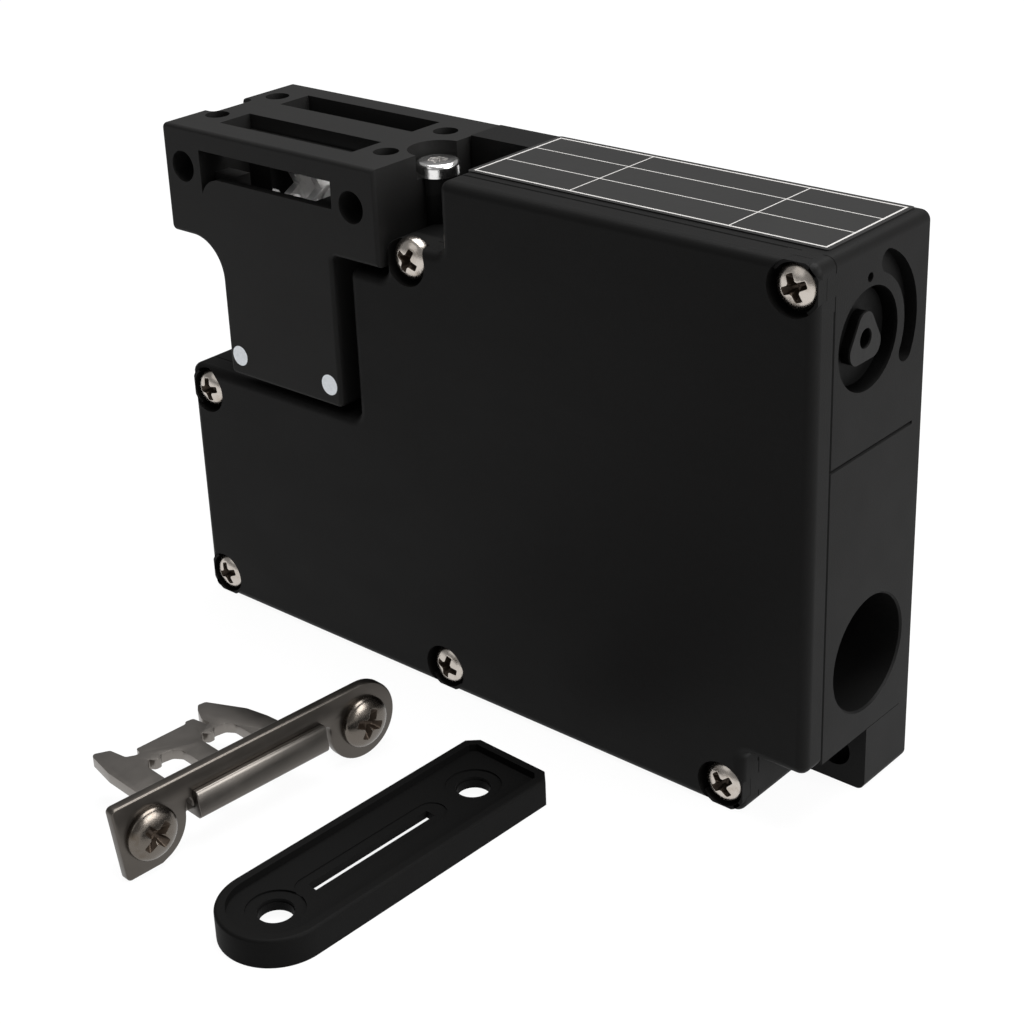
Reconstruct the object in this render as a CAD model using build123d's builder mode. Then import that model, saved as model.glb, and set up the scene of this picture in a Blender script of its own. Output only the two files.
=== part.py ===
from build123d import *
import os
from math import asin, cos, degrees, radians, sin

# Tongue interlock switch with its loose tongue key and pad.
# X runs along the long side, Y from the front to the mounting face, Z up. Millimetres.
# The origin is on the ground, in the middle of the box round everything that is laid out.

# Enclosure
length = 130.0
depth = 30.0
height = 90.0
laid_out_depth = 100.0  # from the near end of the loose pad to the mounting face
wall = 2.8
rear_wall = 3.0
corner_radius = 1.5
cover_setback = 0.8  # the cover lies this far behind the face of the head
cover_depth = 5.4  # from the face of the head to the seam
cover_skin = 2.2
cover_edge_radius = 1.6
seam_chamfer = 0.25
label_thickness = 0.2
shoulder_height = 45.2
bay_gap = 2.9  # between the neck of the head and the step
step_height = 71.7
pocket_floor = 78.0
pocket_width = 12.2
pocket_wall = 7.8  # rear wall left behind the pocket
notch_width = 11.0
notch_height = 11.0
foot_depth = 12.2  # rear foot left behind the notch
mounting_hole_radius = 2.75
fit_gap = 0.1  # between pieces that slide into each other when they are fitted

# Head
head_width = 50.2
head_drop = 0.5  # top of the head below the top of the label
head_gap = 0.4
overhang_left_height = 70.4
overhang_right_height = 73.4
overhang_left = 12.2
overhang_right = 10.9
neck_gap = 1.4  # under the neck
slot_side = 9.45  # wall at each end of the slots
slot_shift = 0.4  # the slots sit this far left of the middle
slot_height = 4.6
slot_front_height = 83.7  # middle of the front slot
mouth_width = 6.8  # top slots at their mouths
mouth_depth = 2.6
mouth_spacing = 13.9
head_hole_radius = 2.7
head_hole_offset = 4.35  # from the end of the slots to the middle of a hole
plug_hole_radius = 2.1
pin_radius = 1.8
pin_inset = 2.6
pin_rise = 3.7  # above the foot of the neck

# Cam and push rod in the head
cam_radius = 8.6
cam_clearance = 1.0
cam_disc_thickness = 1.5
cam_end_wall = 3.2  # between the chamber and the side of the neck
cam_end_room = 1.5  # between the outer discs and the ends of the chamber
cam_eccentricity = 3.2
cam_lobe_radius = 4.6
cam_swing = 75.0  # degrees
axle_radius = 1.5
hub_radius = 2.5
rod_width = 7.0
running_gap = 0.3  # between pieces that move past each other
turning_gap = 0.08  # round shafts and pins that turn or slide in a bore

# Lock
lock_stroke = 4.0
lever_thickness = 2.5
lock_drop = 7.2  # below the shoulder
bolt_height = 6.0
bolt_width = 6.0
bolt_reach = 0.5  # from the nose of the bolt to the flank of the rod

# Solenoid
coil_radius = 8.0
plunger_radius = 3.8
plate = 2.0
solenoid_drop = 9.5  # below the manual release

# Manual release
release_drop = 14.3  # below the top
release_inset = 14.2  # behind the face of the head
release_recess_radius = 7.6
release_shaft_radius = 4.4
release_turn = 180.0  # degrees

# Cable entry, M20 x 1.5
entry_top = 58.5
entry_height = 24.5
entry_inset = 17.4
entry_bore_radius = 9.2
entry_stop_radius = 8.15
entry_length = 10.0

# Cover screws
screw_head_radius = 3.5
screw_head_height = 2.4
screw_shank_radius = 1.45
screw_length = 14.0
screw_recess_radius = 4.1

# Loose key and pad
key_spacing = 40.9
key_height = 13.0
key_thickness = 1.8
tongue_width = 27.2
tongue_length = 23.0
tongue_thickness = 2.5
tongue_offset = 17.5  # from the near screw to the middle of the tongue
tongue_base = 4.7  # underside of the tongue above the ground
key_turn = 4.8  # degrees, how the key happens to lie
pad_width = 17.2
pad_length = 57.2
pad_thickness = 4.6
pad_spacing = 39.8
pad_turn = 2.4  # degrees, how the pad happens to lie

# Places that follow from the sizes
left = -length / 2
right = length / 2
mount_y = laid_out_depth / 2
front_y = mount_y - depth
cover_y = front_y + cover_setback
seam_y = front_y + cover_depth
floor_y = mount_y - rear_wall
top = height - label_thickness
head_top = height - head_drop
neck_x = left + overhang_left
neck_width = head_width - overhang_left - overhang_right
bay_x = neck_x + neck_width + bay_gap
step_x = left + head_width + head_gap
pocket_x = step_x + pocket_width
pocket_y = mount_y - pocket_wall
notch_x = right - notch_width
foot_y = mount_y - foot_depth
neck_middle = neck_x + neck_width / 2
neck_bottom = shoulder_height + neck_gap
slot_width = head_width - 2 * slot_side
slot_middle = left + head_width / 2 - slot_shift
slot_floor = slot_front_height - slot_height / 2
head_hole_spacing = slot_width + 2 * head_hole_offset
cam_y = front_y + 15.6
cam_z = slot_floor - cam_clearance - 0.2 - cam_radius
rod_x = slot_middle
chamber_front = 1.6  # wall between the chamber and the front of the head
chamber_width = neck_width - 2 * cam_end_wall
cam_disc_pitch = (chamber_width - 2 * cam_end_room - cam_disc_thickness) / 3
rod_thickness = cam_disc_pitch - cam_disc_thickness - 2 * running_gap
lock_height = shoulder_height - lock_drop
release_height = top - release_drop
solenoid_height = release_height - solenoid_drop
release_y = front_y + release_inset
entry_y = front_y + entry_inset
inner_x = right - wall


def upright(y):
    """Plane facing the viewer at depth y, drawn in X and Z. Extruding by a negative amount goes back."""
    return Plane.XZ.offset(-y)


def sideways(x):
    """Plane facing +X at x, drawn in Y and Z."""
    return Plane.YZ.offset(x)


# Outline of the enclosure in the front view, stepped round the head, the pocket and the notch.
with BuildSketch(upright(seam_y)) as outline:
    with BuildLine():
        Polyline(
            (left, 0),
            (notch_x, 0),
            (notch_x, notch_height),
            (right, notch_height),
            (right, top),
            (pocket_x, top),
            (pocket_x, pocket_floor),
            (step_x, pocket_floor),
            (step_x, step_height),
            (bay_x, step_height),
            (bay_x, shoulder_height),
            (left, shoulder_height),
            close=True,
        )
    make_face()
    fillet(outline.vertices(), corner_radius)

# Room inside the walls
with BuildSketch(upright(seam_y)) as room:
    add(outline.sketch)
    offset(amount=-wall, kind=Kind.INTERSECTION, mode=Mode.REPLACE)

# Cover screws: three along the bottom, one at the left, one in the step and one at the top right.
screw_inset = 3.8
screw_places = [
    (left + screw_inset, screw_inset),
    (left + 58.9, screw_inset),
    (notch_x - screw_inset, screw_inset),
    (left + screw_inset, shoulder_height - 4.4),
    (step_x + 4.5, pocket_floor - 2.6),
    (right - screw_inset, top - screw_inset),
]
screw_seat_y = cover_y + 0.2 + screw_head_height

# Line of the gasket in the middle of the rim, with a loop round the screw in the step
gasket_width = 1.2
gasket_depth = 0.8
gasket_hole = screw_shank_radius + 0.3
with BuildSketch(upright(seam_y)) as gasket_line:
    offset(outline.sketch, amount=-(wall - gasket_width) / 2, kind=Kind.INTERSECTION)
    offset(outline.sketch, amount=-(wall + gasket_width) / 2, kind=Kind.INTERSECTION, mode=Mode.SUBTRACT)
    with Locations(screw_places[4]):
        Circle(gasket_hole + gasket_width)
    offset(outline.sketch, amount=-0.3, kind=Kind.INTERSECTION, mode=Mode.INTERSECT)
    with Locations(screw_places[4]):
        Circle(gasket_hole, mode=Mode.SUBTRACT)

# Head screw, upright, half in the right side of the head.
head_screw_x = left + head_width + head_gap / 2
head_screw_y = front_y + 14.4
head_screw_radius = 3.6
head_screw_head = 2.2
head_screw_shank = 2.0
head_screw_recess = 1.2  # round the head of the screw
head_screw_seat = head_top - 4.0
head_screw_length = 18.0
head_screw_wall = 1.6

# Release seat in the right wall
release_recess_depth = 3.4
release_boss_radius = 9.0
release_boss_length = 9.0
groove_inner = 9.4
groove_outer = 12.8
groove_depth = 2.0
groove_arc = CenterArc((release_y, release_height), (groove_inner + groove_outer) / 2, -26, 92)

# Spigot of the head in the shoulder
spigot_width = neck_width - 12.1
spigot_depth = 13.0
spigot_length = 5.0

# Housing: a tray closed at the back, with ribs and bosses inside.
with BuildPart() as base_housing:
    extrude(outline.sketch, amount=-(mount_y - seam_y))
    chamfer(base_housing.faces().sort_by(Axis.Y)[0].outer_wire().edges(), seam_chamfer)
    # Mounting ear behind the pocket and mounting foot behind the notch.
    with BuildSketch(upright(pocket_y)):
        with BuildLine():
            Polyline(
                (step_x, pocket_floor - wall),
                (pocket_x + wall, pocket_floor - wall),
                (pocket_x + wall, top),
                (step_x, top),
                close=True,
            )
        make_face()
    extrude(amount=-pocket_wall)
    with BuildSketch(upright(foot_y)):
        with BuildLine():
            Polyline(
                (notch_x - wall, 0),
                (right, 0),
                (right, notch_height + wall),
                (notch_x - wall, notch_height + wall),
                close=True,
            )
        make_face()
    extrude(amount=-foot_depth)
    fillet(base_housing.edges().filter_by(Axis.Y).group_by(Axis.X)[-1].sort_by(Axis.Z)[0], corner_radius)
    rear_edges = base_housing.faces().sort_by(Axis.Y)[-1].outer_wire().edges()
    fillet(rear_edges, 0.6)
    # Hollow
    extrude(room.sketch, amount=-(floor_y - seam_y), mode=Mode.SUBTRACT)
    # Bosses for the cover screws, kept inside the outline.
    with BuildSketch(upright(seam_y)):
        with Locations(*screw_places):
            Circle(screw_recess_radius)
        add(outline.sketch, mode=Mode.INTERSECT)
    extrude(amount=-(floor_y - seam_y))
    # Boss and thread hole for the head screw, with its groove in the step.
    with BuildSketch(Plane.XY.offset(head_screw_seat - head_screw_length - 3)):
        with Locations((head_screw_x, head_screw_y)):
            Rectangle(2 * (head_screw_shank + head_screw_wall), 2 * (head_screw_shank + head_screw_wall))
    extrude(amount=step_height - head_screw_seat + head_screw_length + 2.5)
    with BuildSketch(Plane.XY.offset(pocket_floor - wall)):
        with Locations((head_screw_x, head_screw_y)):
            Circle(head_screw_radius - 0.2)
        with Locations((step_x + head_screw_radius, head_screw_y)):
            Rectangle(2 * head_screw_radius, 2 * head_screw_radius, mode=Mode.INTERSECT)
    extrude(amount=head_screw_seat - pocket_floor + wall)
    with BuildSketch(Plane.XY.offset(head_screw_seat - head_screw_length - 0.5)):
        with Locations((head_screw_x, head_screw_y)):
            Circle(head_screw_shank + fit_gap)
    extrude(amount=head_screw_length + 1, mode=Mode.SUBTRACT)
    # Seat of the manual release: boss, shaft hole, recess, arc groove and small seal hole.
    with BuildSketch(sideways(inner_x)):
        with Locations((release_y, release_height)):
            Circle(groove_outer + 1)
        with Locations(((seam_y + floor_y) / 2, (top + entry_top) / 2)):
            Rectangle(floor_y - seam_y, top - entry_top - 0.1, mode=Mode.INTERSECT)
    extrude(amount=-3.0)
    with BuildSketch(sideways(inner_x)):
        with Locations((release_y, release_height)):
            Circle(release_boss_radius)
    extrude(amount=-(release_boss_length - wall))
    with BuildSketch(sideways(right)):
        with Locations((release_y, release_height)):
            Circle(release_shaft_radius + turning_gap)
    extrude(amount=-release_boss_length - 1, mode=Mode.SUBTRACT)
    with BuildSketch(sideways(right)):
        with Locations((release_y, release_height)):
            Circle(release_recess_radius)
    extrude(amount=-release_recess_depth, mode=Mode.SUBTRACT)
    with BuildSketch(sideways(right)):
        SlotArc(groove_arc, groove_outer - groove_inner)
    extrude(amount=-groove_depth, mode=Mode.SUBTRACT)
    with BuildSketch(sideways(right)):
        with Locations((release_y, release_height + release_recess_radius + 1.4)):
            Circle(0.7)
    extrude(amount=-1.6, mode=Mode.SUBTRACT)
    # Opening in the shoulder for the spigot of the head.
    with BuildSketch(Plane.XY.offset(shoulder_height)):
        with Locations((rod_x, cam_y)):
            Rectangle(spigot_width + 2 * fit_gap, spigot_depth + 2 * fit_gap)
    extrude(amount=-wall - 1, mode=Mode.SUBTRACT)
    # Opening in the right wall for the entry wall.
    with BuildSketch(sideways(right)):
        with Locations(((seam_y + floor_y) / 2, (entry_top + notch_height) / 2)):
            Rectangle(floor_y - seam_y, entry_top - notch_height)
    extrude(amount=-wall - 1, mode=Mode.SUBTRACT)
    entry_edges = base_housing.edges().filter_by(Axis.Y).group_by(Axis.X)[-1]
    chamfer(entry_edges.sort_by_distance((right, entry_y, entry_top))[0], seam_chamfer)
    # Mounting holes
    with BuildSketch(upright(front_y)):
        with Locations(((step_x + pocket_x) / 2, pocket_floor + 6.0)):
            Circle(mounting_hole_radius)
        with Locations(((notch_x + right) / 2, notch_height / 2)):
            Circle(mounting_hole_radius)
    extrude(amount=-depth, mode=Mode.SUBTRACT)
    # Thread holes for the cover screws and the gasket groove in the rim
    with BuildSketch(upright(seam_y)):
        with Locations(*screw_places):
            Circle(screw_shank_radius + 0.05)
    extrude(amount=-(screw_length - (seam_y - screw_seat_y) + 0.5), mode=Mode.SUBTRACT)
    extrude(gasket_line.sketch, amount=-gasket_depth, mode=Mode.SUBTRACT)
base_housing.part.label = "base_housing"

# Front cover: a lid with a rounded rim, hollow behind, scooped out round each screw.
with BuildPart() as front_cover:
    extrude(outline.sketch, amount=seam_y - cover_y)
    fillet(front_cover.faces().sort_by(Axis.Y)[0].outer_wire().edges(), cover_edge_radius)
    chamfer(front_cover.faces().sort_by(Axis.Y)[-1].outer_wire().edges(), seam_chamfer)
    extrude(room.sketch, amount=seam_y - cover_y - cover_skin, mode=Mode.SUBTRACT)
    with BuildSketch(upright(cover_y + cover_skin)):
        with Locations(*screw_places):
            Circle(screw_recess_radius + 1.2)
        add(outline.sketch.moved(Location((0, cover_y + cover_skin - seam_y, 0))), mode=Mode.INTERSECT)
    extrude(amount=-(seam_y - cover_y - cover_skin))
    with BuildSketch(upright(screw_seat_y)):
        with Locations(*screw_places):
            Circle(screw_recess_radius)
    extrude(amount=screw_seat_y - front_y, mode=Mode.SUBTRACT)
    with BuildSketch(upright(seam_y)):
        with Locations(*screw_places):
            Circle(screw_shank_radius + 0.15)
    extrude(amount=seam_y - front_y, mode=Mode.SUBTRACT)
front_cover.part.label = "front_cover"

with BuildPart() as cover_gasket:
    extrude(gasket_line.sketch, amount=-gasket_depth)
cover_gasket.part.label = "cover_gasket"

# Pan head screws with a cross recess, laid along Y
screw_turns = [20, 75, 40, 10, 60, 35]  # degrees, how each recess happens to stand
with BuildPart() as cover_screws:
    with BuildSketch(upright(screw_seat_y)):
        with Locations(*screw_places):
            Circle(screw_head_radius)
    extrude(amount=screw_head_height)
    fillet(cover_screws.edges().filter_by(GeomType.CIRCLE).group_by(Axis.Y)[0], 0.55 * screw_head_height)
    with BuildSketch(upright(screw_seat_y - screw_head_height)):
        for place, turn in zip(screw_places, screw_turns):
            with Locations(place):
                Rectangle(1.0 * screw_head_radius, 0.27 * screw_head_radius, rotation=turn)
                Rectangle(0.27 * screw_head_radius, 1.0 * screw_head_radius, rotation=turn)
    extrude(amount=-0.6 * screw_head_height, mode=Mode.SUBTRACT)
    with BuildSketch(upright(screw_seat_y)):
        with Locations(*screw_places):
            Circle(screw_shank_radius)
    extrude(amount=-screw_length)
cover_screws.part.label = "cover_screws"

# Entry wall: slides into the right side of the housing and holds the threaded cable entry.
with BuildPart() as entry_wall:
    with BuildSketch(sideways(right)):
        with Locations(((seam_y + floor_y) / 2, (entry_top + notch_height) / 2)):
            Rectangle(floor_y - seam_y, entry_top - notch_height - 2 * fit_gap)
    extrude(amount=-wall)
    entry_face = entry_wall.faces().sort_by(Axis.X)[-1]
    chamfer([entry_face.edges().sort_by(Axis.Y)[0], entry_face.edges().sort_by(Axis.Z)[-1]], seam_chamfer)
    with BuildSketch(sideways(inner_x)):
        with Locations((entry_y, entry_height)):
            Circle(entry_bore_radius + 2.8)
        with Locations(((seam_y + floor_y) / 2, (entry_top + notch_height) / 2)):
            Rectangle(floor_y - seam_y, entry_top - notch_height - 2 * wall, mode=Mode.INTERSECT)
    extrude(amount=-(entry_length + 2 - wall))
    with BuildSketch(sideways(right)):
        with Locations((entry_y, entry_height)):
            Circle(entry_bore_radius)
    extrude(amount=-entry_length, mode=Mode.SUBTRACT)
    with BuildSketch(sideways(right)):
        with Locations((entry_y, entry_height)):
            Circle(entry_stop_radius)
    extrude(amount=-entry_length - 2, mode=Mode.SUBTRACT)
    chamfer(entry_wall.edges().filter_by(GeomType.CIRCLE).group_by(Axis.X)[-1], 0.3)
    extrude(gasket_line.sketch, amount=-gasket_depth, mode=Mode.SUBTRACT)
entry_wall.part.label = "entry_wall"

# Rating label on the top
label_start = seam_y + 1.6
label_end = mount_y - 0.7
with BuildPart() as rating_label:
    with BuildSketch(Plane.XY.offset(top)):
        with Locations(((pocket_x + 0.6 + right - 2.2) / 2, (label_start + label_end) / 2)):
            RectangleRounded(right - pocket_x - 2.8, label_end - label_start, 0.6)
    extrude(amount=label_thickness)
rating_label.part.label = "rating_label"

# Head: a T shaped block with a front slot, two top slots and the cam chamber.
head_corner = 1.0
with BuildPart() as head_housing:
    with BuildSketch(upright(front_y)) as head_outline:
        with BuildLine():
            Polyline(
                (left, head_top),
                (left, overhang_left_height),
                (neck_x, overhang_left_height),
                (neck_x, neck_bottom),
                (neck_x + neck_width, neck_bottom),
                (neck_x + neck_width, overhang_right_height),
                (left + head_width, overhang_right_height),
                (left + head_width, head_top),
                close=True,
            )
        make_face()
        fillet(head_outline.vertices().sort_by_distance((neck_x, overhang_left_height))[0], 6.8)
        fillet(head_outline.vertices().sort_by_distance((neck_x + neck_width, overhang_right_height))[0], 1.2)
        fillet(head_outline.vertices().group_by(Axis.Y)[0], head_corner)
        fillet(head_outline.vertices().group_by(Axis.X)[0], head_corner)
    extrude(amount=-depth)
    fillet(head_housing.faces().sort_by(Axis.Y)[0].outer_wire().edges(), 0.7)
    # Spigot that reaches into the shoulder of the housing
    with BuildSketch(Plane.XY.offset(neck_bottom)):
        with Locations((rod_x, cam_y)):
            RectangleRounded(spigot_width, spigot_depth, 1.0)
    extrude(amount=-spigot_length)
    # Front slot with its relief at the lower left
    slot_left = slot_middle - slot_width / 2
    with BuildSketch(upright(front_y)) as front_slot:
        with BuildLine():
            Polyline(
                (slot_left + 4.4, slot_floor),
                (slot_left + slot_width, slot_floor),
                (slot_left + slot_width, slot_floor + slot_height),
                (slot_left, slot_floor + slot_height),
                (slot_left, slot_floor - 3.0),
            )
            ThreePointArc((slot_left, slot_floor - 3.0), (slot_left + 1.5, slot_floor - 1.0), (slot_left + 4.4, slot_floor))
        make_face()
    extrude(amount=-3.2, mode=Mode.SUBTRACT)
    with BuildSketch(upright(front_y)):
        with Locations((slot_middle, slot_front_height)):
            Rectangle(slot_width, slot_height)
    extrude(amount=-(tongue_length + 3), mode=Mode.SUBTRACT)
    # Top slots: wide mouths, then narrower slots that end in a narrow throat in the neck
    for side in (-1, 1):
        with BuildSketch(Plane.XY.offset(head_top)):
            with Locations((slot_middle, cam_y + side * mouth_spacing / 2)):
                Rectangle(slot_width, mouth_width)
        extrude(amount=-mouth_depth, mode=Mode.SUBTRACT)
        with BuildSketch(Plane.XY.offset(head_top)):
            with Locations((slot_middle, cam_y + side * mouth_spacing / 2)):
                Rectangle(slot_width, slot_height)
        extrude(amount=-(head_top - overhang_right_height - 1.6), mode=Mode.SUBTRACT)
        with BuildSketch(Plane.XY.offset(head_top)):
            with Locations((slot_middle, cam_y + side * mouth_spacing / 2)):
                Rectangle(tongue_width - 5.0, slot_height)
        extrude(amount=-(tongue_length + 1.5), mode=Mode.SUBTRACT)
    # Cam chamber, axle hole and the shaft for the push rod
    with BuildSketch(sideways(slot_middle)):
        with Locations((cam_y, cam_z)):
            Circle(cam_radius + cam_clearance)
        with Locations((front_y + chamber_front + (tongue_length + 3 - chamber_front) / 2, (cam_z + slot_floor) / 2 + 2)):
            Rectangle(tongue_length + 3 - chamber_front, slot_floor - cam_z - 4)
    extrude(amount=chamber_width / 2, both=True, mode=Mode.SUBTRACT)
    with BuildSketch(sideways(slot_middle)):
        with Locations((cam_y, cam_z)):
            Circle(axle_radius)
    extrude(amount=chamber_width / 2 + 3.0, both=True, mode=Mode.SUBTRACT)
    with BuildSketch(Plane.XY.offset(neck_bottom - spigot_length)):
        with Locations((rod_x, cam_y)):
            Rectangle(spigot_width - 4.0, spigot_depth - 4.0)
    extrude(amount=cam_z - cam_radius - neck_bottom + spigot_length - 1.0, mode=Mode.SUBTRACT)
    with BuildSketch(Plane.XY.offset(neck_bottom)):
        with Locations((rod_x, cam_y)):
            Rectangle(rod_thickness + 2 * running_gap, rod_width + 2 * running_gap)
    extrude(amount=cam_z - neck_bottom, mode=Mode.SUBTRACT)
    # Through holes in the front, plug holes in the top, pin holes in the neck
    with BuildSketch(upright(front_y)):
        with Locations((slot_middle, slot_front_height - 1.2)):
            with GridLocations(head_hole_spacing, 0, 2, 1):
                Circle(head_hole_radius)
        with Locations((neck_middle, neck_bottom + pin_rise)):
            with GridLocations(neck_width - 2 * pin_inset, 0, 2, 1):
                Circle(pin_radius)
    extrude(amount=-depth, mode=Mode.SUBTRACT)
    with BuildSketch(Plane.XY.offset(head_top)):
        with Locations((slot_middle, cam_y)):
            with GridLocations(head_hole_spacing, 14.0, 2, 2):
                Circle(plug_hole_radius)
    extrude(amount=-3.4, mode=Mode.SUBTRACT)
    # Half round recess and groove for the head screw
    with BuildSketch(Plane.XY.offset(head_top)):
        with Locations((head_screw_x, head_screw_y)):
            Circle(head_screw_radius + head_screw_recess)
    extrude(amount=-(head_top - head_screw_seat), mode=Mode.SUBTRACT)
    with BuildSketch(Plane.XY.offset(head_top)):
        with Locations((head_screw_x, head_screw_y)):
            Circle(head_screw_shank + fit_gap)
    extrude(amount=-depth, mode=Mode.SUBTRACT)
    # Finger notch in the left edge of the top
    with BuildSketch(Plane.XY.offset(head_top)):
        with Locations((left, cam_y - 1.6)):
            RectangleRounded(6.0, 9.4, 1.2)
    extrude(amount=-1.6, mode=Mode.SUBTRACT)
head_housing.part.label = "head_housing"

with BuildPart() as head_screw:
    with BuildSketch(Plane.XY.offset(head_screw_seat)):
        with Locations((head_screw_x, head_screw_y)):
            Circle(head_screw_radius)
    extrude(amount=head_screw_head)
    fillet(head_screw.edges().filter_by(GeomType.CIRCLE).group_by(Axis.Z)[-1], 0.8)
    with BuildSketch(Plane.XY.offset(head_screw_seat + head_screw_head)):
        with Locations((head_screw_x, head_screw_y)):
            RegularPolygon(1.8, 6)
    extrude(amount=-2.0, mode=Mode.SUBTRACT)
    with BuildSketch(Plane.XY.offset(head_screw_seat)):
        with Locations((head_screw_x, head_screw_y)):
            Circle(head_screw_shank)
    extrude(amount=-head_screw_length)
head_screw.part.label = "head_screw"

with BuildPart() as head_pins:
    with BuildSketch(upright(front_y)):
        with Locations((neck_middle, neck_bottom + pin_rise)):
            with GridLocations(neck_width - 2 * pin_inset, 0, 2, 1):
                Circle(pin_radius)
    extrude(amount=-depth)
head_pins.part.label = "head_pins"

# Cam: four stamped discs on hubs and an eccentric lobe between the inner two, turning on a fixed axle.
cam_shaft_length = chamber_width - 2 * running_gap
with BuildPart() as cam_axle:
    with BuildSketch(sideways(slot_middle)):
        with Locations((cam_y, cam_z)):
            Circle(axle_radius)
    extrude(amount=chamber_width / 2 + 3.0, both=True)
cam_axle.part.label = "cam_axle"

first_notch = 118  # degrees; the three notches take the tongue from the front and from the top
with BuildPart() as cam_discs:
    with BuildSketch(sideways(slot_middle)):
        with Locations((cam_y, cam_z)):
            Circle(hub_radius)
    extrude(amount=cam_shaft_length / 2, both=True)
    for step in (-1.5, -0.5, 0.5, 1.5):
        with BuildSketch(sideways(slot_middle + step * cam_disc_pitch)):
            with Locations((cam_y, cam_z)):
                Circle(cam_radius)
                with PolarLocations(cam_radius, 3, first_notch, 270):
                    Rectangle(5.4, 4.2, mode=Mode.SUBTRACT)
        extrude(amount=cam_disc_thickness / 2, both=True)
    # Room for the lobe between the two hubs
    with BuildSketch(sideways(rod_x)):
        with Locations((cam_y, cam_z)):
            Circle(hub_radius + 0.5)
    extrude(amount=rod_thickness / 2, both=True, mode=Mode.SUBTRACT)
    with BuildSketch(sideways(slot_middle)):
        with Locations((cam_y, cam_z)):
            Circle(axle_radius + turning_gap)
    extrude(amount=chamber_width / 2, both=True, mode=Mode.SUBTRACT)
cam_discs.part.label = "cam_discs"

rod_stroke = 2 * cam_eccentricity * sin(radians(cam_swing / 2))
rod_foot = lock_height - 5.0
lobe_y = cam_y + cam_eccentricity * cos(radians(cam_swing / 2))
lobe_z = cam_z + cam_eccentricity * sin(radians(cam_swing / 2))
with BuildPart() as cam_lobe:
    with BuildSketch(sideways(rod_x)):
        with Locations((lobe_y, lobe_z)):
            Circle(cam_lobe_radius)
        with Locations((cam_y, cam_z)):
            Circle(hub_radius)
            Circle(axle_radius + turning_gap, mode=Mode.SUBTRACT)
    extrude(amount=rod_thickness / 2, both=True)
cam_lobe.part.label = "cam_lobe"

# Guide block of the push rod, in the shaft of the neck
guide_top = cam_z - cam_radius - 1.3
with BuildPart() as rod_guide:
    with BuildSketch(Plane.XY.offset(neck_bottom - spigot_length)):
        with Locations((rod_x, cam_y)):
            Rectangle(spigot_width - 4.0 - fit_gap, spigot_depth - 4.0 - fit_gap)
            Rectangle(rod_thickness + 2 * running_gap, rod_width + 2 * running_gap, mode=Mode.SUBTRACT)
    extrude(amount=guide_top - neck_bottom + spigot_length)
rod_guide.part.label = "rod_guide"

# Push rod: hangs under the lobe, with the notch that the lock bolt drops into when the key is in.
lobe_bottom = lobe_z - cam_lobe_radius
rod_top = lobe_bottom - running_gap
rod_flank = rod_x + rod_thickness / 2
lock_notch = 1.8
with BuildPart() as push_rod:
    with BuildSketch(upright(cam_y)):
        with Locations((rod_x, (rod_foot + rod_top) / 2)):
            Rectangle(rod_thickness, rod_top - rod_foot)
        with Locations((rod_flank, lock_height + rod_stroke)):
            Rectangle(2 * lock_notch, bolt_height + 2 * running_gap, mode=Mode.SUBTRACT)
    extrude(amount=rod_width / 2, both=True)
    chamfer(push_rod.edges().group_by(Axis.Z)[-1].filter_by(Axis.X), 0.5)
push_rod.part.label = "push_rod"

# Contact carrier under the rod, with four bridges in double break
carrier_height = 5.0
carrier_bottom = rod_foot - carrier_height
carrier_length = 36.0
carrier_depth = 11.0
bridge_pitch = 8.6
bridge_reach = 4.5  # from the rod to each contact point
contact_radius = 1.3
bridge_thickness = 0.8
bridge_places = [(rod_x + step * bridge_pitch, cam_y) for step in (-1.5, -0.5, 0.5, 1.5)]
contact_places = [(x, y + side * bridge_reach) for x, y in bridge_places for side in (-1, 1)]
with BuildPart() as contact_carrier:
    with BuildSketch(Plane.XY.offset(carrier_bottom)):
        with Locations((rod_x, cam_y)):
            RectangleRounded(carrier_length, carrier_depth, 1.0)
    extrude(amount=carrier_height)
    with BuildSketch(Plane.XY.offset(carrier_bottom)):
        with Locations(*bridge_places):
            Rectangle(4.2, 2 * bridge_reach + 6.0)
    extrude(amount=bridge_thickness, mode=Mode.SUBTRACT)
contact_carrier.part.label = "contact_carrier"

with BuildPart() as contact_bridges:
    with BuildSketch(Plane.XY.offset(carrier_bottom)):
        with Locations(*bridge_places):
            RectangleRounded(4.0, 2 * bridge_reach + 4.0, 0.8)
    extrude(amount=bridge_thickness)
    with BuildSketch(Plane.XY.offset(carrier_bottom)):
        with Locations(*contact_places):
            Circle(contact_radius)
    extrude(amount=-0.6)
contact_bridges.part.label = "contact_bridges"

# Contact block on the rear wall, with the fixed contacts and their screws
block_bottom = 9.0
bridge_point = carrier_bottom - 0.6
contact_top = bridge_point - rod_stroke - running_gap
contact_dot = 0.4
strip_thickness = 0.8
block_top = contact_top - contact_dot - strip_thickness
block_front = seam_y + 0.8
well_radius = 4.2
well_depth = 8.0
screw_offset = 7.6
terminal_radius = 1.7
terminal_shank = 1.0
terminal_head = 1.0
contact_screw_places = [(x, y + side * screw_offset) for x, y in bridge_places for side in (-1, 1)]
with BuildPart() as contact_block:
    with BuildSketch(Plane.XY.offset(block_bottom)):
        with Locations((rod_x, (block_front + floor_y) / 2)):
            Rectangle(carrier_length, floor_y - block_front)
    extrude(amount=block_top - block_bottom)
    with BuildSketch(Plane.XY.offset(block_top)):
        with Locations((rod_x, cam_y)):
            Circle(well_radius)
    extrude(amount=-well_depth, mode=Mode.SUBTRACT)
    with BuildSketch(Plane.XY.offset(block_top)):
        with Locations(*contact_screw_places):
            Circle(terminal_shank + 0.05)
    extrude(amount=-5.5, mode=Mode.SUBTRACT)
contact_block.part.label = "contact_block"

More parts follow.
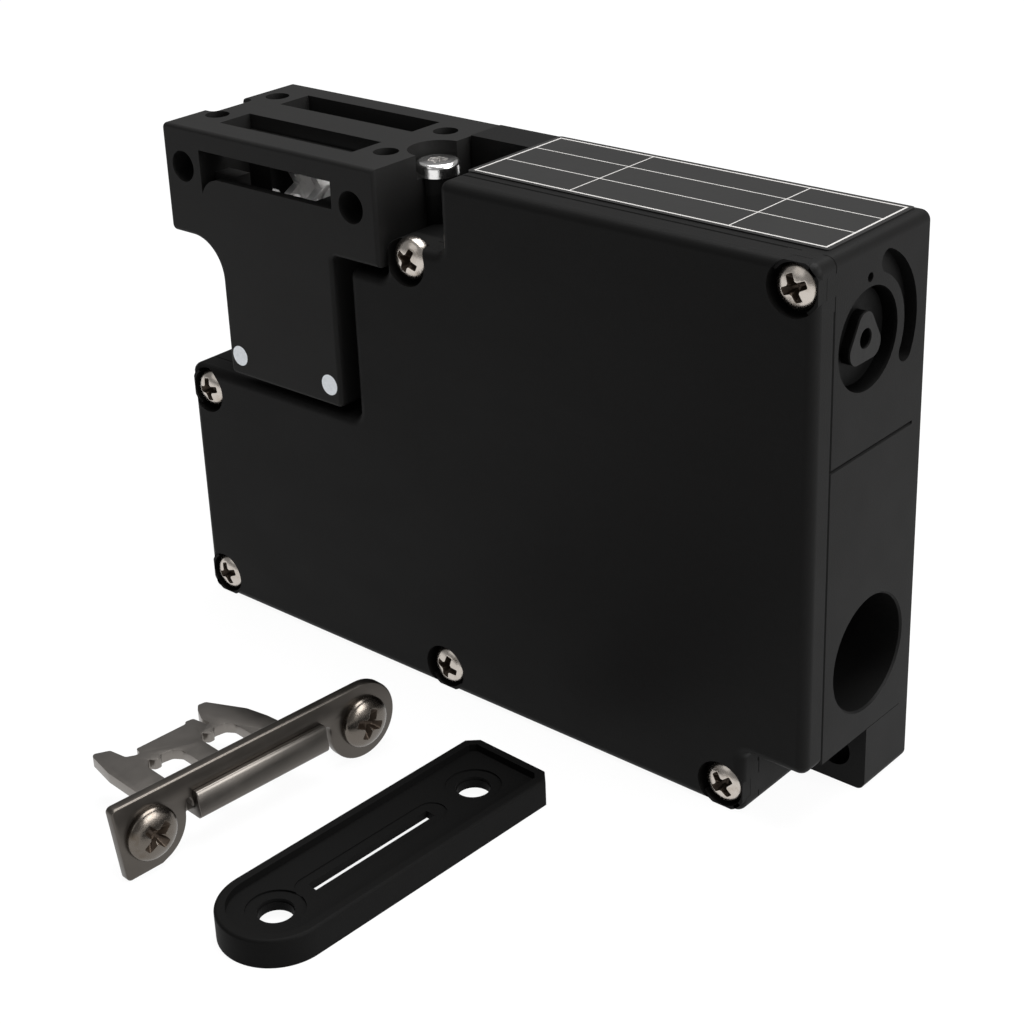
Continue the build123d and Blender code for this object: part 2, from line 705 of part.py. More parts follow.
with BuildPart() as fixed_contacts:
    for side in (-1, 1):
        with BuildSketch(Plane.XY.offset(block_top)):
            with Locations(*[(x, y + side * 6.2) for x, y in bridge_places]):
                Rectangle(4.0, 6.2)
            with Locations(*contact_screw_places):
                Circle(terminal_shank + 0.05, mode=Mode.SUBTRACT)
        extrude(amount=strip_thickness)
    with BuildSketch(Plane.XY.offset(block_top + strip_thickness)):
        with Locations(*contact_places):
            Circle(contact_radius)
    extrude(amount=contact_dot)
fixed_contacts.part.label = "fixed_contacts"

with BuildPart() as contact_screws:
    with BuildSketch(Plane.XY.offset(block_top + strip_thickness)):
        with Locations(*contact_screw_places):
            Circle(terminal_radius)
    extrude(amount=terminal_head)
    with BuildSketch(Plane.XY.offset(block_top + strip_thickness + terminal_head)):
        with Locations(*contact_screw_places):
            Rectangle(2 * terminal_radius + 1, 0.5)
    extrude(amount=-0.5, mode=Mode.SUBTRACT)
    with BuildSketch(Plane.XY.offset(block_top + strip_thickness)):
        with Locations(*contact_screw_places):
            Circle(terminal_shank)
    extrude(amount=-5.5)
contact_screws.part.label = "contact_screws"

# Return spring of square wire between the well of the block and the carrier
spring_wire = 0.4  # half the side of the wire
spring_bottom = block_top - well_depth
with BuildPart() as rod_spring:
    with BuildLine() as rod_coil:
        Helix(
            (carrier_bottom - spring_bottom - 2 * spring_wire) / 5,
            carrier_bottom - spring_bottom - 2 * spring_wire,
            3.2,
            center=(rod_x, cam_y, spring_bottom + spring_wire),
        )
    with BuildSketch(Plane(origin=rod_coil.line @ 0, z_dir=rod_coil.line % 0)):
        Rectangle(2 * spring_wire, 2 * spring_wire)
    sweep(path=rod_coil.line, is_frenet=True)
rod_spring.part.label = "rod_spring"

# Lock bolt, lever and plunger: the plunger pulls the top of the lever left, so its foot pulls the bolt right.
lever_x = pocket_x - 0.8
lever_y = release_y
lever_z = (lock_height + solenoid_height) / 2
lever_end = 2.5
lever_arm = (solenoid_height - lock_height) / 2
lever_shift = lock_stroke / 2
lever_half_angle = degrees(asin(lever_shift / lever_arm))  # either side of upright
eye_gap = 0.35
eye_half = lever_end + eye_gap
eye_wall = 2.0
bolt_nose = rod_flank + bolt_reach
bolt_eye = lever_x - lever_shift
bolt_end = bolt_eye + eye_half + eye_wall
with BuildPart() as lock_bolt:
    with BuildSketch(upright(lever_y)):
        with Locations(((bolt_nose + bolt_end) / 2, lock_height)):
            Rectangle(bolt_end - bolt_nose, bolt_height)
    extrude(amount=bolt_width / 2, both=True)
    chamfer(lock_bolt.edges().group_by(Axis.X)[0].filter_by(Axis.Y), 0.6)
    with BuildSketch(upright(lever_y)):
        with Locations((bolt_eye, lock_height)):
            Rectangle(2 * eye_half, bolt_height)
    extrude(amount=lever_thickness / 2 + running_gap, both=True, mode=Mode.SUBTRACT)
lock_bolt.part.label = "lock_bolt"

guide_length = 10.0
guide_x = lever_x - guide_length - 1.0
with BuildPart() as bolt_guide:
    with BuildSketch(upright(floor_y)):
        with Locations((guide_x, lock_height)):
            Rectangle(guide_length, bolt_height + 8.0)
    extrude(amount=floor_y - lever_y + bolt_width / 2 + 3.0)
    with BuildSketch(sideways(guide_x)):
        with Locations((lever_y, lock_height)):
            Rectangle(bolt_width + 2 * running_gap, bolt_height + 2 * running_gap)
    extrude(amount=guide_length, both=True, mode=Mode.SUBTRACT)
bolt_guide.part.label = "bolt_guide"

post_radius = 4.0
post_pin_radius = 1.5
with BuildPart() as lever_post:
    with BuildSketch(upright(floor_y)):
        with Locations((lever_x, lever_z)):
            Circle(post_radius)
    extrude(amount=floor_y - lever_y - lever_thickness / 2 - running_gap)
    with BuildSketch(upright(floor_y)):
        with Locations((lever_x, lever_z)):
            Circle(post_pin_radius)
    extrude(amount=floor_y - lever_y + lever_thickness / 2 + running_gap + 1.2)
    with BuildSketch(upright(lever_y - lever_thickness / 2 - running_gap)):
        with Locations((lever_x, lever_z)):
            Circle(post_pin_radius + 1.2)
    extrude(amount=1.2)
lever_post.part.label = "lever_post"

lever_tilt = 90 - lever_half_angle
with BuildPart() as lock_lever:
    with BuildSketch(upright(lever_y)):
        with Locations((lever_x, lever_z)):
            with Locations(Location((0, 0), lever_tilt)):
                Rectangle(2 * lever_arm, 0.8 * 2 * lever_end)
                with GridLocations(2 * lever_arm, 0, 2, 1):
                    Circle(lever_end)
            Circle(post_radius)
            Circle(post_pin_radius + turning_gap, mode=Mode.SUBTRACT)
    extrude(amount=lever_thickness / 2, both=True)
lock_lever.part.label = "lock_lever"

# Solenoid: bobbin, winding, U shaped yoke on the rear wall, plunger and its spring
clip_thickness = 1.0
ridge_gap = 0.7
ridge_thickness = 2.0
ridge_clip_gap = 1.5
collar_thickness = 2.0
plunger_spring_length = 7.5
boss_end = right - release_boss_length
clip_x = boss_end - running_gap - clip_thickness
ridge_x = clip_x - ridge_clip_gap - ridge_thickness / 2
collar_left = ridge_x - ridge_thickness / 2 - ridge_gap - collar_thickness
yoke_right = collar_left - plunger_spring_length
coil_right = yoke_right - plate
yoke_left = lever_x + 8.0
coil_left = yoke_left + plate
coil_length = coil_right - coil_left
yoke_half = coil_radius + 1.0
tube_inner = plunger_radius + turning_gap
tube_outer = tube_inner + 1.3
flange = 1.2
with BuildPart() as solenoid_bobbin:
    with BuildSketch(sideways(coil_left)):
        with Locations((release_y, solenoid_height)):
            Circle(tube_outer)
    extrude(amount=coil_length)
    for face_x, way in ((coil_left, 1), (coil_right, -1)):
        with BuildSketch(sideways(face_x)):
            with Locations((release_y, solenoid_height)):
                Circle(coil_radius + 0.4)
        extrude(amount=way * flange)
    with BuildSketch(sideways(coil_left)):
        with Locations((release_y, solenoid_height)):
            Circle(tube_inner)
    extrude(amount=coil_length, mode=Mode.SUBTRACT)
solenoid_bobbin.part.label = "solenoid_bobbin"

with BuildPart() as solenoid_winding:
    with BuildSketch(sideways(coil_left + flange)):
        with Locations((release_y, solenoid_height)):
            Circle(coil_radius)
            Circle(tube_outer, mode=Mode.SUBTRACT)
    extrude(amount=coil_length - 2 * flange)
solenoid_winding.part.label = "solenoid_winding"

with BuildPart() as solenoid_yoke:
    with BuildSketch(Plane.XY.offset(solenoid_height)):
        with BuildLine():
            Polyline(
                (yoke_left, release_y - yoke_half),
                (yoke_left, floor_y),
                (yoke_right, floor_y),
                (yoke_right, release_y - yoke_half),
                (coil_right, release_y - yoke_half),
                (coil_right, floor_y - plate),
                (coil_left, floor_y - plate),
                (coil_left, release_y - yoke_half),
                close=True,
            )
        make_face()
    extrude(amount=yoke_half, both=True)
    with BuildSketch(sideways(yoke_left)):
        with Locations((release_y, solenoid_height)):
            Circle(tube_inner)
    extrude(amount=yoke_right - yoke_left, mode=Mode.SUBTRACT)
solenoid_yoke.part.label = "solenoid_yoke"

plunger_eye = lever_x + lever_shift
plunger_left = plunger_eye - eye_half - eye_wall
tail_radius = 2.0
collar_radius = 3.2
finger_width = 2.0
finger_top = release_height - release_shaft_radius - 0.7
with BuildPart() as solenoid_plunger:
    with BuildSketch(sideways(plunger_left)):
        with Locations((release_y, solenoid_height)):
            Circle(plunger_radius)
    extrude(amount=coil_right - lock_stroke - plunger_left)
    with BuildSketch(sideways(plunger_left)):
        with Locations((release_y, solenoid_height)):
            Circle(tail_radius)
    extrude(amount=collar_left + collar_thickness - plunger_left)
    with BuildSketch(sideways(collar_left)):
        with Locations((release_y, solenoid_height)):
            Circle(collar_radius)
        with Locations((release_y, (solenoid_height + finger_top) / 2)):
            Rectangle(finger_width, finger_top - solenoid_height)
    extrude(amount=collar_thickness)
    with BuildSketch(upright(lever_y)):
        with Locations((plunger_eye, solenoid_height)):
            Rectangle(2 * eye_half, 2 * plunger_radius + 1)
    extrude(amount=lever_thickness / 2 + running_gap, both=True, mode=Mode.SUBTRACT)
solenoid_plunger.part.label = "solenoid_plunger"

plunger_wire = 0.3  # half the side of the wire
with BuildPart() as plunger_spring:
    with BuildLine() as plunger_coil:
        Helix(
            (plunger_spring_length - 2 * plunger_wire) / 4,
            plunger_spring_length - 2 * plunger_wire,
            (tail_radius + collar_radius) / 2 + 0.1,
            center=(yoke_right + plunger_wire, release_y, solenoid_height),
            direction=(1, 0, 0),
        )
    with BuildSketch(Plane(origin=plunger_coil.line @ 0, z_dir=plunger_coil.line % 0)):
        Rectangle(2 * plunger_wire, 2 * plunger_wire)
    sweep(path=plunger_coil.line, is_frenet=True)
plunger_spring.part.label = "plunger_spring"

# Manual release: triangular stud in the recess, shaft through the boss and a helical ridge that pushes the finger.
ridge_radius = 7.1
ridge_root = 0.3  # how far the ridge is let into the shaft
stud_face = right - 0.4
disc_face = right - 2.1
shaft_end = ridge_x - lock_stroke - ridge_thickness / 2 - 0.6
recess_bottom = right - release_recess_depth
clip_groove = 0.5
with BuildPart() as manual_release:
    with BuildSketch(sideways(recess_bottom + running_gap)):
        with Locations((release_y, release_height)):
            Circle(release_recess_radius - 0.5)
    extrude(amount=disc_face - recess_bottom - running_gap)
    with BuildSketch(sideways(disc_face)) as stud:
        with Locations((release_y, release_height - 0.3)):
            RegularPolygon(6.2, 3, rotation=90)
        fillet(stud.vertices(), 2.0)
        with Locations((release_y, release_height)):
            Circle(1.5, mode=Mode.SUBTRACT)
    extrude(amount=stud_face - disc_face)
    with BuildSketch(sideways(disc_face)):
        with Locations((release_y, release_height)):
            Circle(release_shaft_radius)
    extrude(amount=shaft_end - disc_face)
    with BuildSketch(sideways(disc_face)):
        with Locations((release_y, release_height)):
            Circle(1.5)
    extrude(amount=-1.5, mode=Mode.SUBTRACT)
    # Groove for the clip at the end of the boss, and for the seal inside it
    for groove_x, groove_width in ((clip_x, clip_thickness), (boss_end + 2.6, 1.8)):
        with BuildSketch(sideways(groove_x)):
            with Locations((release_y, release_height)):
                Circle(release_shaft_radius + 1)
                Circle(release_shaft_radius - clip_groove, mode=Mode.SUBTRACT)
        extrude(amount=groove_width, mode=Mode.SUBTRACT)
    ridge_middle = (release_shaft_radius - ridge_root + ridge_radius) / 2
    with BuildLine() as ridge_path:
        Helix(
            2 * lock_stroke,
            lock_stroke * release_turn / 180,
            ridge_middle,
            center=(ridge_x, release_y, release_height),
            direction=(-1, 0, 0),
            lefthand=True,
        )
    with BuildSketch(Plane(origin=ridge_path.line @ 0, x_dir=(0, 0, -1), z_dir=ridge_path.line % 0)):
        Rectangle(ridge_radius - release_shaft_radius + ridge_root, ridge_thickness)
    sweep(path=ridge_path.line, is_frenet=True)
manual_release.part.label = "manual_release"

with BuildPart() as release_clip:
    with BuildSketch(sideways(clip_x)):
        with Locations((release_y, release_height)):
            Circle(release_shaft_radius + 2.0)
            Circle(release_shaft_radius - clip_groove, mode=Mode.SUBTRACT)
        with Locations((release_y, release_height - release_shaft_radius)):
            Rectangle(2.4, 2 * release_shaft_radius, mode=Mode.SUBTRACT)
    extrude(amount=clip_thickness)
release_clip.part.label = "release_clip"

with BuildPart() as release_seal:
    with BuildSketch(sideways(boss_end + 2.6)):
        with Locations((release_y, release_height)):
            Circle(release_shaft_radius + turning_gap / 2)
            Circle(release_shaft_radius - clip_groove, mode=Mode.SUBTRACT)
    extrude(amount=1.8)
release_seal.part.label = "release_seal"

# Terminal strip for the solenoid and the signals, on the rear wall
strip_middle = (rod_x + carrier_length / 2 + right - entry_length - 2) / 2
strip_pitch = 6.2
strip_count = 6
strip_length = strip_pitch * strip_count + 2.6
strip_depth = 14.0
strip_height = 12.0
barrier_height = 2.4
strip_screw_y = floor_y - strip_depth / 2 - 1.5
strip_screw_radius = 2.2
with BuildPart() as terminal_strip:
    with BuildSketch(Plane.XY.offset(block_bottom)):
        with Locations((strip_middle, floor_y - strip_depth / 2)):
            Rectangle(strip_length, strip_depth)
    extrude(amount=strip_height)
    with BuildSketch(Plane.XY.offset(block_bottom + strip_height)):
        with Locations((strip_middle, floor_y - strip_depth / 2)):
            with GridLocations(strip_pitch, 0, strip_count + 1, 1):
                Rectangle(0.9, strip_depth)
    extrude(amount=barrier_height)
    with BuildSketch(Plane.XY.offset(block_bottom + strip_height)):
        with Locations((strip_middle, strip_screw_y)):
            with GridLocations(strip_pitch, 0, strip_count, 1):
                Circle(terminal_shank + 0.05)
    extrude(amount=-6.0, mode=Mode.SUBTRACT)
terminal_strip.part.label = "terminal_strip"

with BuildPart() as terminal_screws:
    with BuildSketch(Plane.XY.offset(block_bottom + strip_height)):
        with Locations((strip_middle, strip_screw_y)):
            with GridLocations(strip_pitch, 0, strip_count, 1):
                Circle(strip_screw_radius)
    extrude(amount=1.7)
    with BuildSketch(Plane.XY.offset(block_bottom + strip_height + 1.7)):
        with Locations((strip_middle, strip_screw_y)):
            with GridLocations(strip_pitch, 0, strip_count, 1):
                Rectangle(2 * strip_screw_radius + 1, 0.6)
    extrude(amount=-0.8, mode=Mode.SUBTRACT)
    with BuildSketch(Plane.XY.offset(block_bottom + strip_height)):
        with Locations((strip_middle, strip_screw_y)):
            with GridLocations(strip_pitch, 0, strip_count, 1):
                Circle(terminal_shank)
    extrude(amount=-6.0)
terminal_screws.part.label = "terminal_screws"

# Loose key: it lies on its lobes, its tongue pointing left, the far end turned a little to the right.
key_x = -5.8
key_y = -41.2
turn_x = sin(radians(key_turn))
turn_y = cos(radians(key_turn))
key_face = Plane(origin=(key_x, key_y, 0), x_dir=(turn_x, turn_y, 0), z_dir=(turn_y, -turn_x, 0))
key_plan = Plane(origin=(key_x, key_y, 0), x_dir=(turn_x, turn_y, 0), z_dir=(0, 0, 1))
lobe_radius = key_height / 2
near_hole = -1.9
far_hole = near_hole + key_spacing
tongue_middle = near_hole + tongue_offset
tongue_near = tongue_middle - tongue_width / 2
tongue_far = tongue_middle + tongue_width / 2
tongue_top = tongue_base + tongue_thickness
lip_near = near_hole + 7.1
lip_far = lip_near + 25.0
lip_base = 6.5  # underside of the lip above the ground
lip_reach = 2.0
lip_face = 2.1  # height of the front of the lip
lip_root = 2.2  # height of the hollow curve between the lip and the plate
arch_height = 8.8
with BuildPart() as key_plate:
    with BuildSketch(key_face) as plate_shape:
        with Locations((near_hole, lobe_radius)):
            Circle(lobe_radius)
        with Locations((far_hole, lobe_radius)):
            Circle(lobe_radius)
        with BuildLine():
            Polyline(
                (near_hole, 0),
                (near_hole - 2.6, 0),
                (near_hole - 5.6, key_height),
                (far_hole, key_height),
                (far_hole, tongue_top),
                (near_hole, tongue_top),
                close=True,
            )
        make_face()
        far_arch = (lip_far + far_hole - lobe_radius) / 2 + 0.2
        with BuildLine():
            Line((lip_far, 0), (lip_far, arch_height - 1.3))
            ThreePointArc((lip_far, arch_height - 1.3), (far_arch, arch_height), (2 * far_arch - lip_far, arch_height - 1.3))
            Line((2 * far_arch - lip_far, arch_height - 1.3), (far_hole - lobe_radius, lobe_radius))
            Line((far_hole - lobe_radius, lobe_radius), (far_hole - lobe_radius, 0))
            Line((far_hole - lobe_radius, 0), (lip_far, 0))
        make_face(mode=Mode.SUBTRACT)
        with Locations((near_hole, lobe_radius), (far_hole, lobe_radius)):
            Circle(mounting_hole_radius, mode=Mode.SUBTRACT)
    extrude(amount=-key_thickness)
    fillet(key_plate.faces().sort_by(Axis.X)[-1].outer_wire().edges(), 0.3)
key_plate.part.label = "key_plate"

prong_tip = 3.4
prong_width = 5.6
window_width = 6.0
window_near = 8.0
window_far = 14.0
bar_end = 19.5
with BuildPart() as key_tongue:
    # Sheet that passes under the plate and carries the two prongs and the cross bar
    with BuildSketch(key_plan.offset(tongue_base)) as tongue_shape:
        with BuildLine():
            Polyline(
                (tongue_near, key_thickness),
                (tongue_near, 17.6),
                (tongue_near + 2.2, tongue_length),
                (tongue_near + prong_tip, tongue_length),
                (tongue_near + prong_width, 20.2),
                (tongue_near + prong_width, 17.2),
                (tongue_near + 7.9, 17.2),
                (tongue_near + 7.9, bar_end),
                (tongue_far - 7.9, bar_end),
                (tongue_far - 7.9, 17.2),
                (tongue_far - prong_width, 17.2),
                (tongue_far - prong_width, 20.2),
                (tongue_far - prong_tip, tongue_length),
                (tongue_far - 2.2, tongue_length),
                (tongue_far, 17.6),
                (tongue_far, key_thickness),
                close=True,
            )
        make_face()
        fillet(tongue_shape.vertices(), 0.5)
        with Locations(((lip_near + lip_far) / 2, (key_thickness + 1) / 2)):
            Rectangle(lip_far - lip_near, key_thickness + 1)
        # Windows with two notches towards the cross bar
        for middle in (tongue_middle - 5.2, tongue_middle + 5.2):
            with Locations((middle, (window_near + window_far) / 2)):
                RectangleRounded(window_width, window_far - window_near, 0.8, mode=Mode.SUBTRACT)
            with Locations((middle + 1.4, window_far)):
                RectangleRounded(2.8, 3.2, 1.0, mode=Mode.SUBTRACT)
            with Locations((middle - 2.2, window_far)):
                RectangleRounded(1.5, 1.8, 0.5, mode=Mode.SUBTRACT)
    extrude(amount=tongue_thickness)
    # Lip with a hollow root, folded up against the face of the plate
    lip_end = Plane(
        origin=key_plan.from_local_coords((lip_near, 0, 0)),
        x_dir=(turn_y, -turn_x, 0),
        z_dir=(-turn_x, -turn_y, 0),
    )
    with BuildSketch(lip_end):
        with BuildLine():
            Polyline((0, lip_base + lip_face + lip_root), (0, lip_base), (lip_reach, lip_base), (lip_reach, lip_base + lip_face))
            RadiusArc((lip_reach, lip_base + lip_face), (0, lip_base + lip_face + lip_root), 2.6)
        make_face()
    extrude(amount=-(lip_far - lip_near))
key_tongue.part.label = "key_tongue"

key_head_radius = 4.3
key_head_height = 2.3
with BuildPart() as key_screws:
    with BuildSketch(key_face):
        with Locations((near_hole, lobe_radius), (far_hole, lobe_radius)):
            Circle(key_head_radius)
    extrude(amount=key_head_height)
    fillet(key_screws.edges().filter_by(GeomType.CIRCLE).sort_by(Axis(key_face.origin, key_face.z_dir))[-2:], 0.8)
    with BuildSketch(key_face.offset(key_head_height)):
        for place, turn in ((near_hole, 35), (far_hole, 62)):
            with Locations((place, lobe_radius)):
                Rectangle(4.0, 1.0, rotation=turn)
                Rectangle(1.0, 4.0, rotation=turn)
    extrude(amount=-1.3, mode=Mode.SUBTRACT)
    with BuildSketch(key_face):
        with Locations((near_hole, lobe_radius), (far_hole, lobe_radius)):
            Circle(2.5)
    extrude(amount=-6.5)
key_screws.part.label = "key_screws"

# Loose pad: a moulding with a rim and a thin web, hollow below, with two holes and a slit
pad_x = 20.6
pad_rim = 1.6
pad_recess = 1.2
pad_web = 1.0
ring_radius = 4.4
ring_depth = 0.3
slit_length = 23.8
slit_width = 1.8
pad_near = pad_width / 2 - laid_out_depth / 2  # middle of the round end
pad_plan = Plane(
    origin=(pad_x - (pad_length - pad_width / 2) * sin(radians(pad_turn)), pad_near, 0),
    x_dir=(cos(radians(pad_turn)), -sin(radians(pad_turn)), 0),
    z_dir=(0, 0, 1),
)
with BuildPart() as key_pad:
    with BuildSketch(pad_plan) as pad_shape:
        Circle(pad_width / 2)
        with Locations((0, (pad_length - pad_width / 2) / 2)):
            Rectangle(pad_width, pad_length - pad_width / 2)
        chamfer(pad_shape.vertices().sort_by(Axis(pad_plan.origin, pad_plan.y_dir))[-2:], 1.8)
    extrude(amount=pad_thickness)
    fillet(key_pad.faces().sort_by(Axis.Z)[-1].outer_wire().edges(), 0.5)
    with BuildSketch(pad_plan.offset(pad_thickness)):
        offset(pad_shape.sketch_local, amount=-pad_rim)
    extrude(amount=-pad_recess, mode=Mode.SUBTRACT)
    with BuildSketch(pad_plan):
        offset(pad_shape.sketch_local, amount=-pad_rim)
    extrude(amount=pad_thickness - pad_recess - pad_web, mode=Mode.SUBTRACT)
    # Low rings round the holes and a shallow bed round the slit
    with BuildSketch(pad_plan.offset(pad_thickness - pad_recess)):
        with Locations((0, 0), (0, pad_spacing)):
            Circle(ring_radius)
    extrude(amount=-ring_depth, mode=Mode.SUBTRACT)
    with BuildSketch(pad_plan.offset(pad_thickness - pad_recess)):
        with Locations((0, 18.7)):
            SlotOverall(slit_length + 5.0, 5.0, rotation=90)
        with Locations((0, 0), (0, pad_spacing)):
            Circle(ring_radius, mode=Mode.SUBTRACT)
    extrude(amount=-0.2, mode=Mode.SUBTRACT)
    with BuildSketch(pad_plan):
        with Locations((0, 0), (0, pad_spacing)):
            Circle(mounting_hole_radius)
        with Locations((0, 18.7)):
            Rectangle(slit_width, slit_length)
    extrude(amount=pad_thickness, mode=Mode.SUBTRACT)
key_pad.part.label = "key_pad"

pieces = [
    base_housing,
    front_cover,
    cover_gasket,
    cover_screws,
    entry_wall,
    rating_label,
    head_housing,
    head_screw,
    head_pins,
    cam_axle,
    cam_discs,
    cam_lobe,
    rod_guide,
    push_rod,
    rod_spring,
    contact_carrier,
    contact_bridges,
    contact_block,
    fixed_contacts,
    contact_screws,
    lock_bolt,
    bolt_guide,
    lock_lever,
    lever_post,
    solenoid_bobbin,
    solenoid_winding,
    solenoid_yoke,
    solenoid_plunger,
    plunger_spring,
    manual_release,
    release_clip,
    release_seal,
    terminal_strip,
    terminal_screws,
    key_plate,
    key_tongue,
    key_screws,
    key_pad,
]
os.makedirs("parts", exist_ok=True)
for piece in pieces:
    export_step(piece.part, f"parts/{piece.part.label}.step")
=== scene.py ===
import math

import bpy
from mathutils import Matrix, Vector


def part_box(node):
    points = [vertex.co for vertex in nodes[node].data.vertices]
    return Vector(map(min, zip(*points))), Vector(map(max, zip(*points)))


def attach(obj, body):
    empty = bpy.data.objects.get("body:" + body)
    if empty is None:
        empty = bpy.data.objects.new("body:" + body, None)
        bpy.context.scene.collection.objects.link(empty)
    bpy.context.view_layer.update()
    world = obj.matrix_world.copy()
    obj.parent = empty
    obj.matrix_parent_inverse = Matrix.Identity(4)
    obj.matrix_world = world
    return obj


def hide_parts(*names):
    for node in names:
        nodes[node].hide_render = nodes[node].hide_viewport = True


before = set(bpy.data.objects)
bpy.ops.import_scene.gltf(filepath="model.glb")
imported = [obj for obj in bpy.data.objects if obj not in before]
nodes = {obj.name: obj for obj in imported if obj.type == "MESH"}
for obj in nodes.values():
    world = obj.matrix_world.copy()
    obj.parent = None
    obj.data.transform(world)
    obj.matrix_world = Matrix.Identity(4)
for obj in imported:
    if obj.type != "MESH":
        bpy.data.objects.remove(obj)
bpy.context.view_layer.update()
bpy.ops.object.select_all(action="DESELECT")
bpy.context.scene.view_settings.view_transform = "Standard"

# View: the switch stands on its long edge and is seen from the front right and a little above,
# close enough that its edges run together towards the far left.
picture_size = 1024
focal_pixels = 2028
centre_pixel = (482, 408)
camera_place = (0.1998, -0.1912, 0.180)
view_turn = math.radians(42.58)
view_rise = math.radians(23.56)
view_roll = math.radians(-2.61)
view_back = Vector(
    (
        math.sin(view_turn) * math.cos(view_rise),
        -math.cos(view_turn) * math.cos(view_rise),
        math.sin(view_rise),
    )
)
level_right = Vector((math.cos(view_turn), math.sin(view_turn), 0))
level_up = view_back.cross(level_right)
view_right = math.cos(view_roll) * level_right + math.sin(view_roll) * level_up
view_up = -math.sin(view_roll) * level_right + math.cos(view_roll) * level_up
lens = bpy.data.cameras.new("camera")
lens.sensor_width = 36
lens.lens = focal_pixels / picture_size * lens.sensor_width
lens.shift_x = (picture_size / 2 - centre_pixel[0]) / picture_size
lens.shift_y = (centre_pixel[1] - picture_size / 2) / picture_size
lens.clip_start = 0.01
camera = bpy.data.objects.new("camera", lens)
axes = Matrix((view_right, view_up, view_back)).transposed().to_4x4()
camera.matrix_world = Matrix.Translation(camera_place) @ axes
bpy.context.collection.objects.link(camera)
bpy.context.scene.camera = camera

# Housing tray, lid and entry wall: glass filled plastic, moulded black in a spark eroded tool. The faces
# are matt with a fine grain, a little uneven in gloss where they have been handled.


class Value:
    """A number or colour that runs through a material. Sums and products add Math nodes."""

    def __init__(self, finish, socket):
        self.finish = finish
        self.socket = socket

    def sum(self, operation, first, second=0.0):
        return self.finish.add("ShaderNodeMath", {"operation": operation}, {0: first, 1: second})

    def __add__(self, other):
        return self.sum("ADD", self, other)

    def __radd__(self, other):
        return self.sum("ADD", other, self)

    def __sub__(self, other):
        return self.sum("SUBTRACT", self, other)

    def __rsub__(self, other):
        return self.sum("SUBTRACT", other, self)

    def __mul__(self, other):
        return self.sum("MULTIPLY", self, other)

    def __rmul__(self, other):
        return self.sum("MULTIPLY", other, self)

    def __abs__(self):
        return self.sum("ABSOLUTE", self)

    def least(self, other):
        return self.sum("MINIMUM", self, other)

    def most(self, other):
        return self.sum("MAXIMUM", self, other)

    def under(self, edge, soft):
        """1 well below the edge, 0 well above it, with a ramp of width soft."""
        values = {0: self, 1: edge - soft, 2: edge + soft, 3: 1.0, 4: 0.0}
        return self.finish.add("ShaderNodeMapRange", {}, values)


class Finish:
    """A material with one surface shader. add() makes any node and gives back one of its outputs."""

    def __init__(self, name):
        self.material = bpy.data.materials.new(name)
        self.material.use_nodes = True
        self.tree = self.material.node_tree
        self.tree.nodes.clear()
        self.output = self.tree.nodes.new("ShaderNodeOutputMaterial")

    def add(self, kind, settings, values, out=0):
        node = self.tree.nodes.new(kind)
        for key, setting in settings.items():
            setattr(node, key, setting)
        for key, value in values.items():
            if isinstance(value, Value):
                self.tree.links.new(value.socket, node.inputs[key])
            else:
                node.inputs[key].default_value = value
        return Value(self, node.outputs[out])

    def place(self):
        return self.add("ShaderNodeTexCoord", {}, {}, "Object")

    def along(self, place, axis):
        return self.add("ShaderNodeSeparateXYZ", {}, {0: place}, axis)

    def noise(self, place, scale, detail=2.0, roughness=0.5):
        values = {"Vector": place, "Scale": scale, "Detail": detail, "Roughness": roughness}
        return self.add("ShaderNodeTexNoise", {}, values, "Fac")

    def stretched(self, place, scale):
        return self.add("ShaderNodeMapping", {}, {"Vector": place, "Scale": scale})

    def mix(self, share, first, second):
        return self.add("ShaderNodeMix", {"data_type": "RGBA"}, {0: share, 6: first, 7: second}, 2)

    def bump(self, height, strength, distance):
        return self.add("ShaderNodeBump", {}, {"Height": height, "Strength": strength, "Distance": distance})

    def surface(self, values):
        shader = self.add("ShaderNodeBsdfPrincipled", {}, values)
        self.tree.links.new(shader.socket, self.output.inputs["Surface"])
        return self.material


def grey(level, warm=0.0):
    """A grey that leans to yellow where warm is above 0 and to blue where it is below."""
    return (level * (1 + warm), level, level * (1 - warm), 1)


def dress(name, material):
    """Gives a node of the frame its material."""
    mesh = nodes[name].data
    mesh.materials.clear()
    mesh.materials.append(material)


def moulded_black(name, level, roughness, grain, specular=0.07, painted_shade_recess=None):
    """Matt plastic. A recess given by face, middle and reach gets painted shade, near black on walls and
    floor.
    """
    finish = Finish(name)
    place = finish.place()
    fine = finish.noise(place, 3600, 3, 0.6)
    broad = finish.noise(place, 46, 3, 0.55)
    streaks = finish.noise(finish.stretched(place, (0.35, 1, 1)), 160, 4, 0.6)
    shade = finish.mix(broad * 0.7 + fine * 0.3, grey(level * 0.8), grey(level * 1.25, 0.03))
    if painted_shade_recess:
        face_x, middle_y, middle_z, reach = painted_shade_recess
        off_y, off_z = finish.along(place, 1) - middle_y, finish.along(place, 2) - middle_z
        near = (off_y * off_y + off_z * off_z).under(reach * reach, 0.000001)
        deep = finish.along(place, 0).under(face_x - 0.0004, 0.0002)
        # painted shade: the walls and floor of the recess are made almost black
        shade = finish.mix(near * deep, shade, grey(0.0016))
    gloss = roughness + (broad - 0.5) * 0.16 + (streaks - 0.5) * 0.1
    relief = finish.bump(fine, grain, 0.0001)
    return finish.surface(
        {"Base Color": shade, "Roughness": gloss, "Specular IOR Level": specular, "Normal": relief}
    )


# Face, middle and radius of the recess round the manual release, painted near black in the housing as
# painted shade
release_recess = (0.065, 0.0342, 0.0755, 0.0078)
housing_black = moulded_black("housing_black", 0.0046, 0.5, 0.28, painted_shade_recess=release_recess)
for name in ("base_housing", "front_cover", "entry_wall"):
    dress(name, housing_black)

